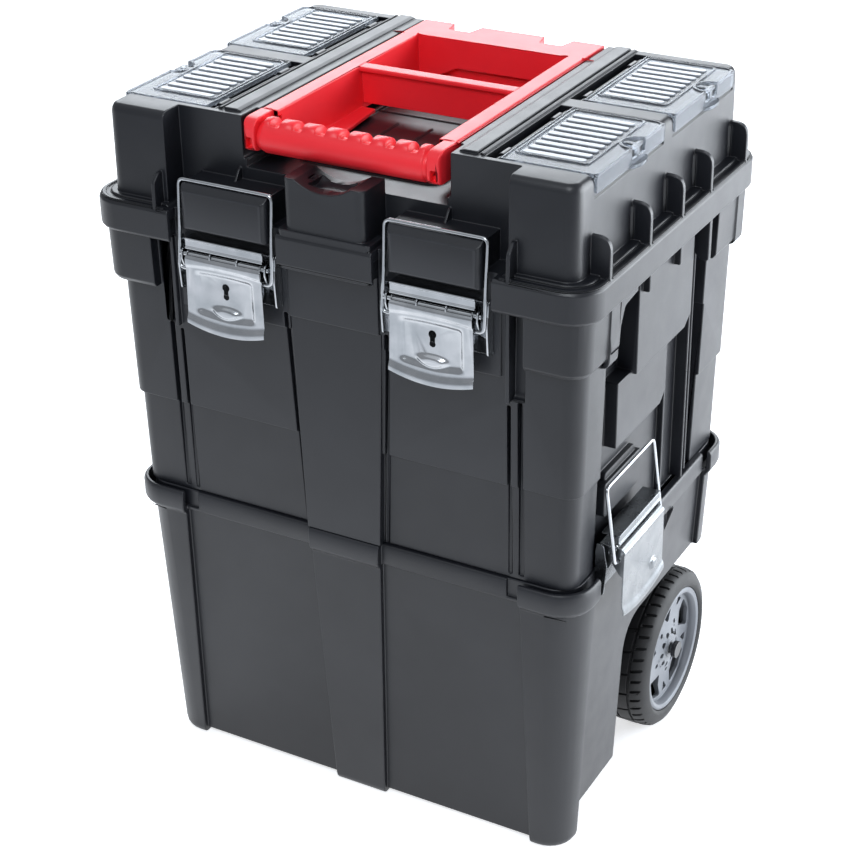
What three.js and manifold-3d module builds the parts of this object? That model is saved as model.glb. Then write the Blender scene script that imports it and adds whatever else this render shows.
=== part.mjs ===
// Rolling tool box: a lift-off upper box with an organiser lid on a wheeled lower bin.
// Millimetres, X to the right, -Y to the front, Z up, origin on the floor under the middle.
import * as THREE from 'three';
import { mergeVertices } from 'three/addons/utils/BufferGeometryUtils.js';
import Module from 'manifold-3d';

const wasm = await Module();
wasm.setup();

// Driving dimensions
const collarWidth = 450;       // lid collar, the widest moulding
const collarDepth = 350;
const collarHeight = 27;
const collarCorner = 27;
const rimTop = 270;            // rim of the lower bin
const rimHeight = 20;
const rimCorner = 30;
const rimInset = 7.5;          // rim inside the collar at each side
const rimSetback = 13;         // and at the front and back
const upperHeight = 242;       // from the bin's rim to the collar
const lidRise = 77;            // from the collar to the lid's top
const wall = 4;                // moulded walls
const gap = 0.3;               // between pieces that touch
const run = 1;                 // between pieces that slide past each other
const draft = 0.045;           // outward lean of the walls, per mm of height, each side
const far = 300;               // past the whole box, for cuts

const rimWidth = collarWidth - 2 * rimInset;
const rimDepth = collarDepth - 2 * rimSetback;
const collarBottom = rimTop + upperHeight;
const collarTop = collarBottom + collarHeight;
const lidTop = collarTop + lidRise;

// Wheels
const wheelRadius = 76;
const tyreWidth = 46;
const wheelInset = 10;         // outer face of a tyre inside the rim
const axleSetback = 80;
const axleRadius = 5;
const tyreDepth = 17;
const rimRadius = wheelRadius - tyreDepth;
const wheelOuter = rimWidth / 2 - wheelInset;
const axleY = rimDepth / 2 - axleSetback;

// Feet and pilasters
const footWidth = 28;
const pilasterProud = 5;       // stand out from the panels
const pilasterHalf = 26;
const floorHeight = 28;        // underside of the bin's floor
const skirtHeight = 4;         // underside of the front skirt

// Wheel arches and axle bay
const archAhead = 41;
const archOver = 20;
const archBeside = 17;
const bayOver = 22;
const bayAhead = 20;
const archFront = axleY - wheelRadius - archAhead;
const archTop = 2 * wheelRadius + archOver;
const archInner = wheelOuter - tyreWidth - archBeside;
const bayTop = wheelRadius + bayOver;
const bayFront = axleY - bayAhead;

// Latches
const frontLatchX = 94;
const sideLatchY = -62;
const sideLatchHalf = 58;      // half of the break in the rim for a side latch

// Pull handle
const tubeX = 45;
const tubeRadius = 11;
const tubeWall = 1.2;
const tubeSlip = 0.4;
const tubeBottom = 100;
const gripHeight = 38;
const gripDepth = 24;
const gripMargin = 15;         // grip and clamps past the tubes' middles
const channelMargin = 19;      // channel past the tubes' middles
const channelFace = collarDepth / 2 - 21;
const tubeY = channelFace + 14;
const channelHalf = tubeX + channelMargin;
const tubeSteps = 8;           // each stage stands this far above the one outside it
const gripTop = collarBottom - 10;
const gripBottom = gripTop - gripHeight;
const tubeLength = gripBottom - 3 * tubeSteps - tubeBottom;

// Lid
const towerX = collarWidth / 2 - 19;      // half width of the lid's top
const towerFront = collarDepth / 2 - 14;
const towerInner = 152;
const lidRear = collarDepth / 2 - 19;
const recessFace = collarDepth / 2 - 36;
const handleHalf = 88;         // half width of the carrying handle
const handleSlot = handleHalf + 1.5;
const recessFloor = lidTop - 42;
const lidDeck = lidTop - 56;   // underside of the lid's floor
const handlePivotY = lidRear - 18;
const handlePivotZ = lidTop - 12;
const handlePivotR = 4;

// Organiser lids
const organiserWidth = 78.5;
const organiserOuter = towerX + 2.5;
const organiserInner = organiserOuter - organiserWidth;
const organiserThick = 3;
const organiserSpans = { front: [28 - towerFront, -5], rear: [13, lidRear - 15] };
const organiserPinX = organiserInner - 4.5;
const organiserPinR = 1.5;
const organiserSwing = 7;      // room around the pin for the lid's edge
const knuckleR = 3.6;

// Lid hinge
const hingeY = collarDepth / 2 + 3;
const hingeZ = collarBottom - 4;
const hingeR = 5.5;
const hingePinR = 2.5;
const hingeSpan = [110, 150];
const hingeJoint = 10;         // length of each body knuckle

// Colours
const black = { color: 0x2b2d30, roughness: 0.6, metalness: 0 };
const red = { color: 0xd8202c, roughness: 0.4, metalness: 0 };
const clear = { color: 0xc9d2d8, roughness: 0.2, metalness: 0 };
const steel = { color: 0xc8ccd0, roughness: 0.3, metalness: 1 };
const rubber = { color: 0x1b1b1c, roughness: 0.9, metalness: 0 };
const silver = { color: 0xb9bdc2, roughness: 0.4, metalness: 0.3 };

const box = new THREE.Group();

// ---- solids -------------------------------------------------------------

function toSolid(geometry) {
  const bare = geometry.clone();
  for (const name of Object.keys(bare.attributes)) {
    if (name !== 'position') bare.deleteAttribute(name);
  }
  const merged = mergeVertices(bare, 1e-4);
  return new wasm.Manifold(new wasm.Mesh({
    numProp: 3,
    vertProperties: Float32Array.from(merged.attributes.position.array),
    triVerts: Uint32Array.from(merged.index.array),
  }));
}

function union(...solids) {
  return solids.flat().reduce((all, one) => all.add(one));
}

function cut(body, ...tools) {
  return tools.flat().reduce((left, tool) => left.subtract(tool), body);
}

function place(name, solid, look, position = [0, 0, 0], turn = 0) {
  const data = solid.getMesh();
  const geometry = new THREE.BufferGeometry();
  geometry.setAttribute('position', new THREE.BufferAttribute(data.vertProperties, 3));
  geometry.setIndex(new THREE.BufferAttribute(data.triVerts, 1));
  geometry.computeVertexNormals();
  const mesh = new THREE.Mesh(geometry, new THREE.MeshStandardMaterial(look));
  mesh.name = name;
  mesh.position.set(...position);
  mesh.rotation.z = turn;
  box.add(mesh);
  return mesh;
}

function block(x, y, z) {
  const geometry = new THREE.BoxGeometry(x[1] - x[0], y[1] - y[0], z[1] - z[0]);
  geometry.translate((x[0] + x[1]) / 2, (y[0] + y[1]) / 2, (z[0] + z[1]) / 2);
  return toSolid(geometry);
}

// An outline in X and Y raised from z[0] to z[1].
function raised(shape, z, steps = 4) {
  const geometry = new THREE.ExtrudeGeometry(shape, {
    depth: z[1] - z[0], bevelEnabled: false, curveSegments: steps,
  });
  geometry.translate(0, 0, z[0]);
  return toSolid(geometry);
}

// An outline in Y and Z drawn out along X.
function alongX(shape, x, steps = 6) {
  const geometry = new THREE.ExtrudeGeometry(shape, {
    depth: x[1] - x[0], bevelEnabled: false, curveSegments: steps,
  });
  geometry.applyMatrix4(new THREE.Matrix4().makeBasis(
    new THREE.Vector3(0, 1, 0), new THREE.Vector3(0, 0, 1), new THREE.Vector3(1, 0, 0)));
  geometry.translate(x[0], 0, 0);
  return toSolid(geometry);
}

// An outline in X and Z drawn out along Y.
function alongY(shape, y, steps = 6) {
  const geometry = new THREE.ExtrudeGeometry(shape, {
    depth: y[1] - y[0], bevelEnabled: false, curveSegments: steps,
  });
  geometry.rotateX(Math.PI / 2);
  geometry.translate(0, y[1], 0);
  return toSolid(geometry);
}

function polygon(...points) {
  return new THREE.Shape(points.map(([a, b]) => new THREE.Vector2(a, b)));
}

function roundedRectangle(width, depth, radius) {
  const shape = new THREE.Shape();
  const x = width / 2;
  const y = depth / 2;
  shape.moveTo(-x + radius, -y);
  shape.lineTo(x - radius, -y);
  shape.absarc(x - radius, -y + radius, radius, -Math.PI / 2, 0);
  shape.lineTo(x, y - radius);
  shape.absarc(x - radius, y - radius, radius, 0, Math.PI / 2);
  shape.lineTo(-x + radius, y);
  shape.absarc(-x + radius, y - radius, radius, Math.PI / 2, Math.PI);
  shape.lineTo(-x, -y + radius);
  shape.absarc(-x + radius, -y + radius, radius, Math.PI, Math.PI * 1.5);
  return shape;
}

// A rounded block whose sides lean outward by lean per mm of height.
function leaning(width, depth, radius, z, lean, y = 0) {
  const geometry = new THREE.ExtrudeGeometry(roundedRectangle(width, depth, radius), {
    depth: z[1] - z[0], bevelEnabled: false, curveSegments: 4,
  });
  const spot = geometry.attributes.position;
  for (let i = 0; i < spot.count; i += 1) {
    const out = lean * spot.getZ(i);
    spot.setX(i, spot.getX(i) + Math.sign(spot.getX(i)) * out);
    spot.setY(i, spot.getY(i) + Math.sign(spot.getY(i)) * out);
  }
  geometry.translate(0, y, z[0]);
  return toSolid(geometry);
}

function rod(radius, length, centre, axis, sides = 16) {
  const geometry = new THREE.CylinderGeometry(radius, radius, length, sides);
  if (axis === 'x') geometry.rotateZ(Math.PI / 2);
  if (axis === 'z') geometry.rotateX(Math.PI / 2);
  geometry.translate(...centre);
  return toSolid(geometry);
}

// A round wire through the points, its corners turned on a small radius.
function wire(points, radius, bend) {
  const path = new THREE.CurvePath();
  const at = points.map((p) => new THREE.Vector3(...p));
  let from = at[0];
  for (let i = 1; i < at.length - 1; i += 1) {
    const back = at[i - 1].clone().sub(at[i]).setLength(bend).add(at[i]);
    const ahead = at[i + 1].clone().sub(at[i]).setLength(bend).add(at[i]);
    path.add(new THREE.LineCurve3(from, back));
    path.add(new THREE.QuadraticBezierCurve3(back, at[i], ahead));
    from = ahead;
  }
  path.add(new THREE.LineCurve3(from, at.at(-1)));
  const ring = new THREE.Shape();
  ring.absarc(0, 0, radius, 0, Math.PI * 2);
  return toSolid(new THREE.ExtrudeGeometry(ring, {
    steps: Math.round(path.getLength() / 9), extrudePath: path, curveSegments: 3,
  }));
}

const sides = [['left', -1], ['right', 1]];

function bothSides(solid) {
  return [solid, solid.mirror([1, 0, 0])];
}

// ---- lower bin ----------------------------------------------------------

const binHeight = rimTop - rimHeight - floorHeight;
const panelWidth = rimWidth - 2 * pilasterProud - 10 - 2 * draft * binHeight;
const panelDepth = rimDepth - 2 * pilasterProud - 8 - 2 * draft * binHeight;
const panelCorner = 22;
const binSideFace = panelWidth / 2 + draft * binHeight;

function lowerBin() {
  const rimBottom = rimTop - rimHeight;
  const panels = leaning(panelWidth, panelDepth, panelCorner, [floorHeight, rimBottom + wall],
    draft);
  const footDraftDrop = 2 * draft * floorHeight;
  const proud = leaning(
    panelWidth + 2 * pilasterProud - footDraftDrop, panelDepth + 2 * pilasterProud - footDraftDrop,
    panelCorner + pilasterProud, [0, rimBottom + wall], draft);
  const cornerX = panelWidth / 2 - footWidth + pilasterProud;
  const cornerY = panelDepth / 2 - footWidth + pilasterProud;
  const corners = bothSides(block([cornerX, collarWidth], [-collarDepth, -cornerY], [-1, rimTop]));
  const rearCorners = bothSides(block([cornerX, collarWidth], [cornerY, collarDepth], [-1, rimTop]));
  const middle = alongY(polygon(
    [-pilasterHalf, -1], [pilasterHalf, -1], [pilasterHalf + 9, rimTop], [-pilasterHalf - 9, rimTop],
  ), [-collarDepth, -panelDepth / 2 + footWidth / 2]);
  const masks = union(corners, rearCorners, middle);
  const columns = proud.intersect(masks);
  const rimLow = leaning(rimWidth - 2 * pilasterProud, rimDepth - 2 * pilasterProud,
    rimCorner - pilasterProud, [rimBottom, rimTop], 0);
  const rimHigh = leaning(rimWidth, rimDepth, rimCorner, [rimBottom, rimTop], 0).intersect(masks);
  const pad = block([-channelHalf, channelHalf], [panelDepth / 2 - wall, channelFace + 2],
    [bayTop, rimBottom + 5]);
  const skirtDrop = 2 * draft * (floorHeight - skirtHeight);
  const skirt = leaning(panelWidth - skirtDrop, panelDepth - skirtDrop, panelCorner,
    [skirtHeight, floorHeight + 1], draft).intersect(
    block([-cornerX - 1, cornerX + 1], [-collarDepth, wall - panelDepth / 2], [0, rimTop]));
  let bin = union(panels, columns, rimLow, rimHigh, pad, skirt);

  const inner = 2 * wall;
  const hollowBase = floorHeight + wall;
  const outerAt = (z) => 2 * draft * (z - floorHeight);
  const hollow = leaning(panelWidth - inner + outerAt(hollowBase), panelDepth - inner + outerAt(hollowBase),
    panelCorner - wall, [hollowBase, rimTop + 1], draft);
  const archHouse = bothSides(block([archInner - wall, collarWidth], [archFront - wall, collarDepth],
    [-1, archTop + wall]));
  const bayHouse = block([-collarWidth, collarWidth], [bayFront - wall, collarDepth], [-1, bayTop + wall]);
  bin = cut(bin, cut(hollow, archHouse, bayHouse));

  const arches = bothSides(block([archInner, collarWidth], [archFront, collarDepth], [-1, archTop]));
  const bay = block([-archInner + wall * 2, archInner - wall * 2], [bayFront, collarDepth], [-1, bayTop]);
  const axleHole = rod(axleRadius + gap, collarWidth, [0, axleY, wheelRadius], 'x');
  const sideBreaks = bothSides(block([binSideFace, collarWidth],
    [sideLatchY - sideLatchHalf, sideLatchY + sideLatchHalf], [rimBottom - 1, rimTop + 1]));
  const rearBreak = block([-channelHalf, channelHalf], [channelFace + 2, collarDepth],
    [rimBottom - 1, rimTop + 1]);
  return cut(bin, arches, bay, axleHole, sideBreaks, rearBreak);
}

place('lower_bin', lowerBin(), black);

// ---- axle and wheels ----------------------------------------------------

const hubHalf = tyreWidth / 2;
const wheelMiddle = wheelOuter - hubHalf;
const axleEnd = wheelOuter - 8;

place('wheel_axle', rod(axleRadius, 2 * axleEnd, [0, axleY, wheelRadius], 'x'), steel);

function ring(outer, inner, half, chamfer, sideCount) {
  const outline = [
    [inner, -half], [outer - chamfer, -half], [outer, -half + chamfer],
    [outer, half - chamfer], [outer - chamfer, half], [inner, half], [inner, -half],
  ].map(([r, h]) => new THREE.Vector2(r, h));
  const geometry = new THREE.LatheGeometry(outline, sideCount);
  geometry.rotateZ(Math.PI / 2);
  return toSolid(geometry);
}

function tyre() {
  return ring(wheelRadius, rimRadius + gap, hubHalf, 7, 40);
}

function wheelRim() {
  const barrel = ring(rimRadius, rimRadius - 7, hubHalf - 2, 0.5, 40);
  const hub = ring(14, axleRadius + gap, hubHalf - 3, 0.5, 16);
  const disc = ring(rimRadius - 3, 12, 3, 0.5, 40);
  const windows = [];
  const windowCount = 5;
  for (let i = 0; i < windowCount; i += 1) {
    const turn = (i * Math.PI * 2) / windowCount;
    const corner = (radius, angle) => [radius * Math.cos(turn + angle), radius * Math.sin(turn + angle)];
    const reach = rimRadius - 10;
    windows.push(alongX(polygon(corner(20, 0), corner(reach, 0.42), corner(reach, -0.42)), [-12, 12]));
  }
  return union(barrel, hub, cut(disc, windows));
}

for (const [side, sign] of sides) {
  const centre = [sign * wheelMiddle, axleY, wheelRadius];
  place(`tyre_${side}`, tyre(), rubber, centre);
  place(`wheel_rim_${side}`, wheelRim(), silver, centre);
  const cap = union(
    ring(8, axleRadius + gap, 1.5, 0.4, 16),
    rod(8, 1.5, [2.2, 0, 0], 'x'));
  const capX = wheelMiddle + hubHalf - 3 + gap + 1.5;
  place(`axle_cap_${side}`, cap, steel, [sign * capX, axleY, wheelRadius], sign > 0 ? 0 : Math.PI);
}

// ---- draw latches -------------------------------------------------------

// Drawn in place for a wall facing -Y at y = 0; z = 0 at the lever's pin.
const pinR = 2;
const wireR = 2;
const plate = 1.5;
const frontLatch = {
  half: 37, drop: 56, tip: 8, pinOut: 9, hook: [6, 10], bailHalf: 44, bailTop: 61, bailOut: 13.5,
  baseHalf: 50, baseTop: 15, baseDrop: 40, face: collarDepth / 2 - 12, pinZ: collarBottom - 7,
};
const sideLatch = {
  half: 42, drop: 61, tip: 6, pinOut: 12, hook: [6, 10], bailHalf: 49, bailTop: 59, bailOut: 6.5,
  baseHalf: 51, baseTop: 9, baseDrop: 41, face: binSideFace, pinZ: rimTop + 19,
};

function latchBase(size) {
  const back = block([-size.baseHalf, size.baseHalf], [-gap - plate, -gap],
    [-size.baseDrop, size.baseTop]);
  const ear = alongX(polygon(
    [-gap - 0.5, -size.baseDrop], [-4, -size.baseDrop], [-size.pinOut + 5, -22], [-size.pinOut - 1, -7],
    [-size.pinOut - 5, 0], [-size.pinOut - 3, 5], [-size.pinOut + 3, 7],
    [-gap - 0.5, size.baseTop > 0 ? 8 : size.baseTop],
  ), [size.half + 2, size.half + 2 + plate]);
  const hole = rod(pinR + gap, collarWidth, [0, -size.pinOut, 0], 'x', 12);
  return cut(union(back, bothSides(ear)), hole);
}

function latchLever(size) {
  const out = size.pinOut + size.hook[0] + 2;
  const face = alongX(polygon(
    [-out + 4, 3], [-out - 1, -4], [-out - 2, -size.drop * 0.6], [-out - 7, -size.drop - size.tip],
    [-out - 7 - plate, -size.drop - size.tip], [-out - 2 - plate, -size.drop * 0.6],
    [-out - 1 - plate, -4], [-out + 4 - plate, 3 + plate],
  ), [-size.half, size.half]);
  const front = new THREE.Shape();
  front.moveTo(-size.half, 10);
  front.lineTo(-size.half, -size.drop);
  front.quadraticCurveTo(0, -size.drop - 2 * size.tip, size.half, -size.drop);
  front.lineTo(size.half, 10);
  const flange = alongX(polygon(
    [-out - 1.5, -4], [-out - 2, -20], [-size.pinOut + 4, -14], [-size.pinOut + 4, 3], [-out + 3.5, 3],
  ), [size.half - plate, size.half]);
  const pinHole = rod(pinR + gap, collarWidth, [0, -size.pinOut, 0], 'x', 12);
  const hookAt = [0, -size.pinOut - size.hook[0], -size.hook[1]];
  const hookHole = rod(wireR + gap, collarWidth, hookAt, 'x', 12);
  return cut(union(face.intersect(alongY(front, [-far, far])), bothSides(flange)), pinHole, hookHole);
}

function latchBail(size) {
  const hook = [-size.pinOut - size.hook[0], -size.hook[1]];
  const side = (sign) => [
    [sign * (size.half - 4), ...hook],
    [sign * size.bailHalf, ...hook],
    [sign * size.bailHalf, -size.bailOut, size.bailTop],
  ];
  return wire([...side(-1), ...side(1).reverse()], wireR, 4);
}

function latch(name, size, position, turn) {
  place(`${name}_base`, latchBase(size), steel, position, turn);
  const pin = rod(pinR, 2 * (size.half + 5), [0, -size.pinOut, 0], 'x', 12);
  place(`${name}_pin`, pin, steel, position, turn);
  place(`${name}_lever`, latchLever(size), steel, position, turn);
  place(`${name}_bail`, latchBail(size), steel, position, turn);
}

for (const [side, sign] of sides) {
  const frontAt = [sign * frontLatchX, -frontLatch.face, frontLatch.pinZ];
  const sideAt = [sign * sideLatch.face, sideLatchY, sideLatch.pinZ];
  latch(`front_latch_${side}`, frontLatch, frontAt, 0);
  latch(`side_latch_${side}`, sideLatch, sideAt, (sign * Math.PI) / 2);
}

// ---- upper box ----------------------------------------------------------

const bodyTop = collarTop - 9;
const collarInnerX = collarWidth / 2 - wall;
const collarInnerY = collarDepth / 2 - wall;
const bodyStep = rimTop + 87;         // the walls step out here
const cornerStep = collarBottom - 42; // and the corners again here
const bodyLean = 0.02;
const pocketX = rimWidth / 2 - 17.5;  // side walls between the corner columns
const plateX = rimWidth / 2 - 2.5;    // raised plate on each side wall
const innerX = pocketX - 2 * wall;
const innerY = rimDepth / 2 - 20;

function upperBody() {
  const bottom = rimTop + gap;
  const low = leaning(rimWidth - 23, rimDepth - 20, 22, [bottom, bodyStep], bodyLean);
  const middle = leaning(rimWidth - 15, rimDepth - 12, 24, [bodyStep - 5, bodyTop], bodyLean);
  const lipX = 2 * (collarInnerX - run);
  const lipY = 2 * (collarInnerY - run);
  const top = leaning(lipX - 4, lipY - 4, 24, [cornerStep, bodyTop], 0.03);
  const corner = (y) => block([collarWidth / 2 - 75, far], y, [rimTop, lidTop]);
  const cornersOnly = union(
    bothSides(corner([-far, 65 - collarDepth / 2])), bothSides(corner([collarDepth / 2 - 65, far])));
  const lip = leaning(lipX, lipY, collarCorner - wall - run, [collarBottom + 2, bodyTop], 0);
  const pilaster = alongY(polygon([-35, bottom], [35, bottom], [44, bodyTop], [-44, bodyTop]),
    [-frontLatch.face, 21 - towerFront]);
  const nestInset = 2 * wall + 6;
  const nest = leaning(panelWidth + 2 * draft * binHeight - nestInset,
    panelDepth + 2 * draft * binHeight - nestInset, 14, [rimTop - 8, bottom + 2], 0);
  let body = union(low, middle, top.intersect(cornersOnly), lip, pilaster, nest);

  const sidePocket = bothSides(block([pocketX, far], [sideLatchY - 56, 92], [bottom - 1, collarBottom]));
  const plateFrom = collarBottom - 140;
  const plateBlock = bothSides(union(
    block([pocketX - wall, plateX], [-59, 52], [plateFrom, collarBottom + 1]),
    block([pocketX - wall, plateX], [-94, 3], [plateFrom, plateFrom + 56])));
  const catchFrom = sideLatch.pinZ + 29;
  const catches = bothSides(block([pocketX - wall, binSideFace - 1],
    [sideLatchY - 36, sideLatchY + 36], [catchFrom, catchFrom + 28]));
  const channel = block([-channelHalf, channelHalf], [channelFace, far], [rimTop - 20, bodyTop + 1]);
  body = cut(body, sidePocket);
  body = union(body, plateBlock, catches);
  const latchFace = bothSides(block([frontLatchX - 54, frontLatchX + 54], [-far, -frontLatch.face],
    [collarBottom - 72, collarTop + 1]));
  const latchPad = bothSides(block([frontLatchX - 53, frontLatchX + 53],
    [-frontLatch.face, 11 - towerFront], [collarBottom - 64, bodyTop]));
  body = cut(union(body, latchPad), latchFace, channel);

  const hollow = leaning(2 * innerX, 2 * innerY, 18, [rimTop - 4, bodyStep - 7], bodyLean);
  const hollowTop = leaning(2 * innerX + 4, 2 * innerY + 6, 18, [bodyStep - 8, bodyTop + 1], bodyLean);
  body = cut(body, hollow, hollowTop);

  const [hingeFrom, hingeTo] = hingeSpan;
  const arm = (from, to) => union(
    rod(hingeR, to - from, [(from + to) / 2, hingeY, hingeZ], 'x', 20),
    block([from, to], [collarDepth / 2 - 25, hingeY], [hingeZ - hingeR, hingeZ - 1]));
  const arms = [arm(hingeFrom, hingeFrom + hingeJoint), arm(hingeTo - hingeJoint, hingeTo)].map(bothSides);
  const pinHole = rod(hingePinR + gap, collarWidth, [0, hingeY, hingeZ], 'x', 12);
  return cut(union(body, arms.flat()), pinHole);
}

place('upper_body', upperBody(), black);

for (const [side, sign] of sides) {
  const middle = sign * (hingeSpan[0] + hingeSpan[1]) / 2;
  const length = hingeSpan[1] - hingeSpan[0] + 2;
  place(`hinge_pin_${side}`, rod(hingePinR, length, [middle, hingeY, hingeZ], 'x', 12), steel);
}

// ---- lid ----------------------------------------------------------------

function organiserCut(span) {
  const seat = block([organiserInner - gap, far], [span[0] - gap, span[1] + gap],
    [lidTop - organiserThick - gap, lidTop + 1]);
  const outside = block([organiserOuter - 3, far], [span[0] - gap, span[1] + gap],
    [lidTop - 18, lidTop + 1]);
  const well = block([organiserInner + wall, organiserOuter - 8], [span[0] + wall, span[1] - wall],
    [lidDeck + wall, lidTop + 1]);
  const slot = block([organiserPinX - organiserSwing, organiserInner + 1], [span[0] - gap, span[1] + gap],
    [lidTop - 14, lidTop + 1]);
  const pin = rod(organiserPinR + gap, span[1] - span[0] + 6,
    [organiserPinX, (span[0] + span[1]) / 2, lidTop - organiserThick - 1], 'y', 12);
  return union(seat, outside, well, slot, pin);
}

function lidShell() {
  const collar = leaning(collarWidth, collarDepth, collarCorner, [collarBottom, collarTop], 0);
  const collarHollow = leaning(2 * collarInnerX, 2 * collarInnerY, collarCorner - wall,
    [collarBottom - 1, bodyTop + gap], 0);
  const towerDepth = towerFront + lidRear;
  const tower = leaning(2 * towerX + 4, towerDepth + 2, 20, [collarTop - 5, lidTop], -0.012,
    (lidRear - towerFront) / 2);
  let lid = union(cut(collar, collarHollow), tower);
  lid = cut(lid, block([-towerInner, towerInner], [-far, -recessFace], [collarTop, lidTop + 1]));

  const bay = (x) => block([x - 51, x + 51], [-far, -frontLatch.face - gap],
    [collarBottom - 1, lidTop - 16]);
  lid = cut(lid, bay(-frontLatchX), bay(frontLatchX));
  const catchTop = collarTop + 27;
  const catchBlock = (x) => block([x - 40, x + 40], [-frontLatch.face - 9, 1 - recessFace],
    [bodyTop + 1, catchTop]);
  const scoop = rod(60, 44, [0, -collarDepth / 2 - 7, collarTop + 93], 'x', 32);
  const middleFull = block([-38, 38], [3 - collarDepth / 2, 1 - recessFace],
    [collarTop - 2, collarTop + 47]);
  const middleBlock = cut(middleFull, scoop);
  lid = union(lid, catchBlock(-frontLatchX), catchBlock(frontLatchX), middleBlock);

  const finAt = [37 - collarDepth / 2, -64, 0, 60, collarDepth / 2 - 37];
  const finOut = collarWidth / 2 - 1.5;
  const finShape = new THREE.Shape();
  finShape.moveTo(towerX - 6, collarTop - 2);
  finShape.lineTo(finOut, collarTop - 2);
  finShape.lineTo(finOut, collarTop + 29);
  finShape.quadraticCurveTo(finOut - 1.5, collarTop + 41, towerX + 5, collarTop + 43);
  finShape.quadraticCurveTo(towerX, collarTop + 44, towerX - 6, collarTop + 53);
  const fins = finAt.map((y) => bothSides(alongY(finShape, [y, y + 5], 4)));
  const frontFins = bothSides(block([towerInner - 5, towerInner],
    [2 - collarDepth / 2, 11 - towerFront], [collarTop - 2, catchTop]));
  lid = union(lid, fins.flat(), frontFins);

  const handleRecess = block([-handleSlot, handleSlot], [-far, far], [recessFloor, lidTop + 1]);
  const notch = block([-handleSlot - 3, handleSlot + 3], [-far, 22 - recessFace],
    [recessFloor + 6, lidTop + 1]);
  const rearChannel = block([-channelHalf - run, channelHalf + run], [channelFace, far],
    [collarBottom - 1, lidTop + 1]);
  const underDeck = block([8 - towerX, towerX - 8], [wall - recessFace, lidRear - 2 * wall],
    [collarBottom, lidDeck]);
  const rails = bothSides(block([handleSlot + wall, organiserPinX - organiserSwing - wall],
    [26 - recessFace, lidRear - 12], [lidDeck - 1, lidTop - wall]));
  lid = cut(lid, handleRecess, notch, rearChannel, underDeck, rails);
  for (const span of Object.values(organiserSpans)) lid = cut(lid, bothSides(organiserCut(span)));

  const ridgeX = (handleSlot + organiserPinX) / 2;
  const ridgeAt = [ridgeX, (lidRear - recessFace) / 2, lidTop - 0.5];
  const ridge = bothSides(rod(3, lidRear + recessFace - 30, ridgeAt, 'y', 12));
  const pinAt = [0, handlePivotY, handlePivotZ];
  const handlePinHole = rod(handlePivotR + gap, 2 * (handleSlot + 14), pinAt, 'x', 16);
  lid = cut(union(lid, ridge), handlePinHole);

  const [hingeFrom, hingeTo] = hingeSpan;
  const from = hingeFrom + hingeJoint + gap;
  const to = hingeTo - hingeJoint - gap;
  const reach = hingeR + run;
  const clearance = (a, b) => block([a, b], [hingeY - reach - 1, hingeY + 10],
    [collarBottom - 1, hingeZ + reach + 1]);
  const clearances = bothSides(clearance(hingeFrom - run, hingeTo + run));
  lid = cut(lid, clearances);
  const knuckle = cut(union(
    rod(hingeR, to - from, [(from + to) / 2, hingeY, hingeZ], 'x', 20),
    block([from, to], [hingeY - 4, hingeY + hingeR - 1], [hingeZ, collarTop - 8]),
    block([from, to], [collarInnerY, hingeY], [collarBottom + 6, collarTop - 8]),
  ), rod(hingePinR + gap, collarWidth, [0, hingeY, hingeZ], 'x', 12));
  return union(lid, bothSides(knuckle));
}

place('lid_shell', lidShell(), black);

// ---- organiser lids -----------------------------------------------------

function organiserLid(span) {
  const [from, to] = [span[0] + 1, span[1] - 1];
  const topPlate = block([organiserInner, organiserOuter], [from, to], [lidTop - organiserThick, lidTop + 1]);
  const flange = block([organiserOuter - 2.4, organiserOuter], [from, to], [lidTop - 14, lidTop - 1]);
  const tabY = (from + to) / 2 + 12;
  const tab = block([organiserOuter - 2, organiserOuter + 4], [tabY - 12, tabY + 12],
    [lidTop - 17, lidTop - 14.5]);
  const tabStem = block([organiserOuter - 2.4, organiserOuter], [tabY - 3, tabY + 3],
    [lidTop - 17, lidTop - 10]);
  const latchHole = rod(11, 20, [organiserOuter, tabY, lidTop - 5], 'x', 16);
  const tongue = union(
    block([organiserOuter - 2.4, organiserOuter], [tabY - 3, tabY + 3], [lidTop - 17, lidTop]),
    block([organiserOuter - 14, organiserOuter], [tabY - 3, tabY + 3],
      [lidTop - organiserThick, lidTop + 1]));
  const pinZ = lidTop - organiserThick - 1;
  const knuckles = [from + 10, to - 22].map((y) => union(
    rod(knuckleR, 12, [organiserPinX, y + 6, pinZ], 'y', 16),
    block([organiserPinX, organiserInner + 1], [y, y + 12],
      [lidTop - organiserThick, lidTop - 0.5])));
  const pinHole = rod(organiserPinR + gap, to - from + 20, [organiserPinX, (from + to) / 2, pinZ], 'y', 12);
  const plateWithHole = cut(union(topPlate, flange), latchHole);
  return cut(union(plateWithHole, tongue, tabStem, tab, knuckles), pinHole);
}

for (const [row, span] of Object.entries(organiserSpans)) {
  for (const [side, sign] of sides) {
    const lidSolid = organiserLid(span);
    const pin = rod(organiserPinR, span[1] - span[0] + 4,
      [organiserPinX, (span[0] + span[1]) / 2, lidTop - organiserThick - 1], 'y', 12);
    const facing = (solid) => (sign > 0 ? solid : solid.mirror([1, 0, 0]));
    place(`organiser_lid_${row}_${side}`, facing(lidSolid), clear);
    place(`organiser_pin_${row}_${side}`, facing(pin), steel);
  }
}

// ---- carrying handle ----------------------------------------------------

const handleTop = lidTop + 1;
const gripY = 6 - recessFace;
const gripZ = lidTop - 15;
const gripR = 13.5;
const gripEndR = 8;
const capInner = handleHalf - 12;
const crossY = 13.5;           // the bar across the handle

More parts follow.
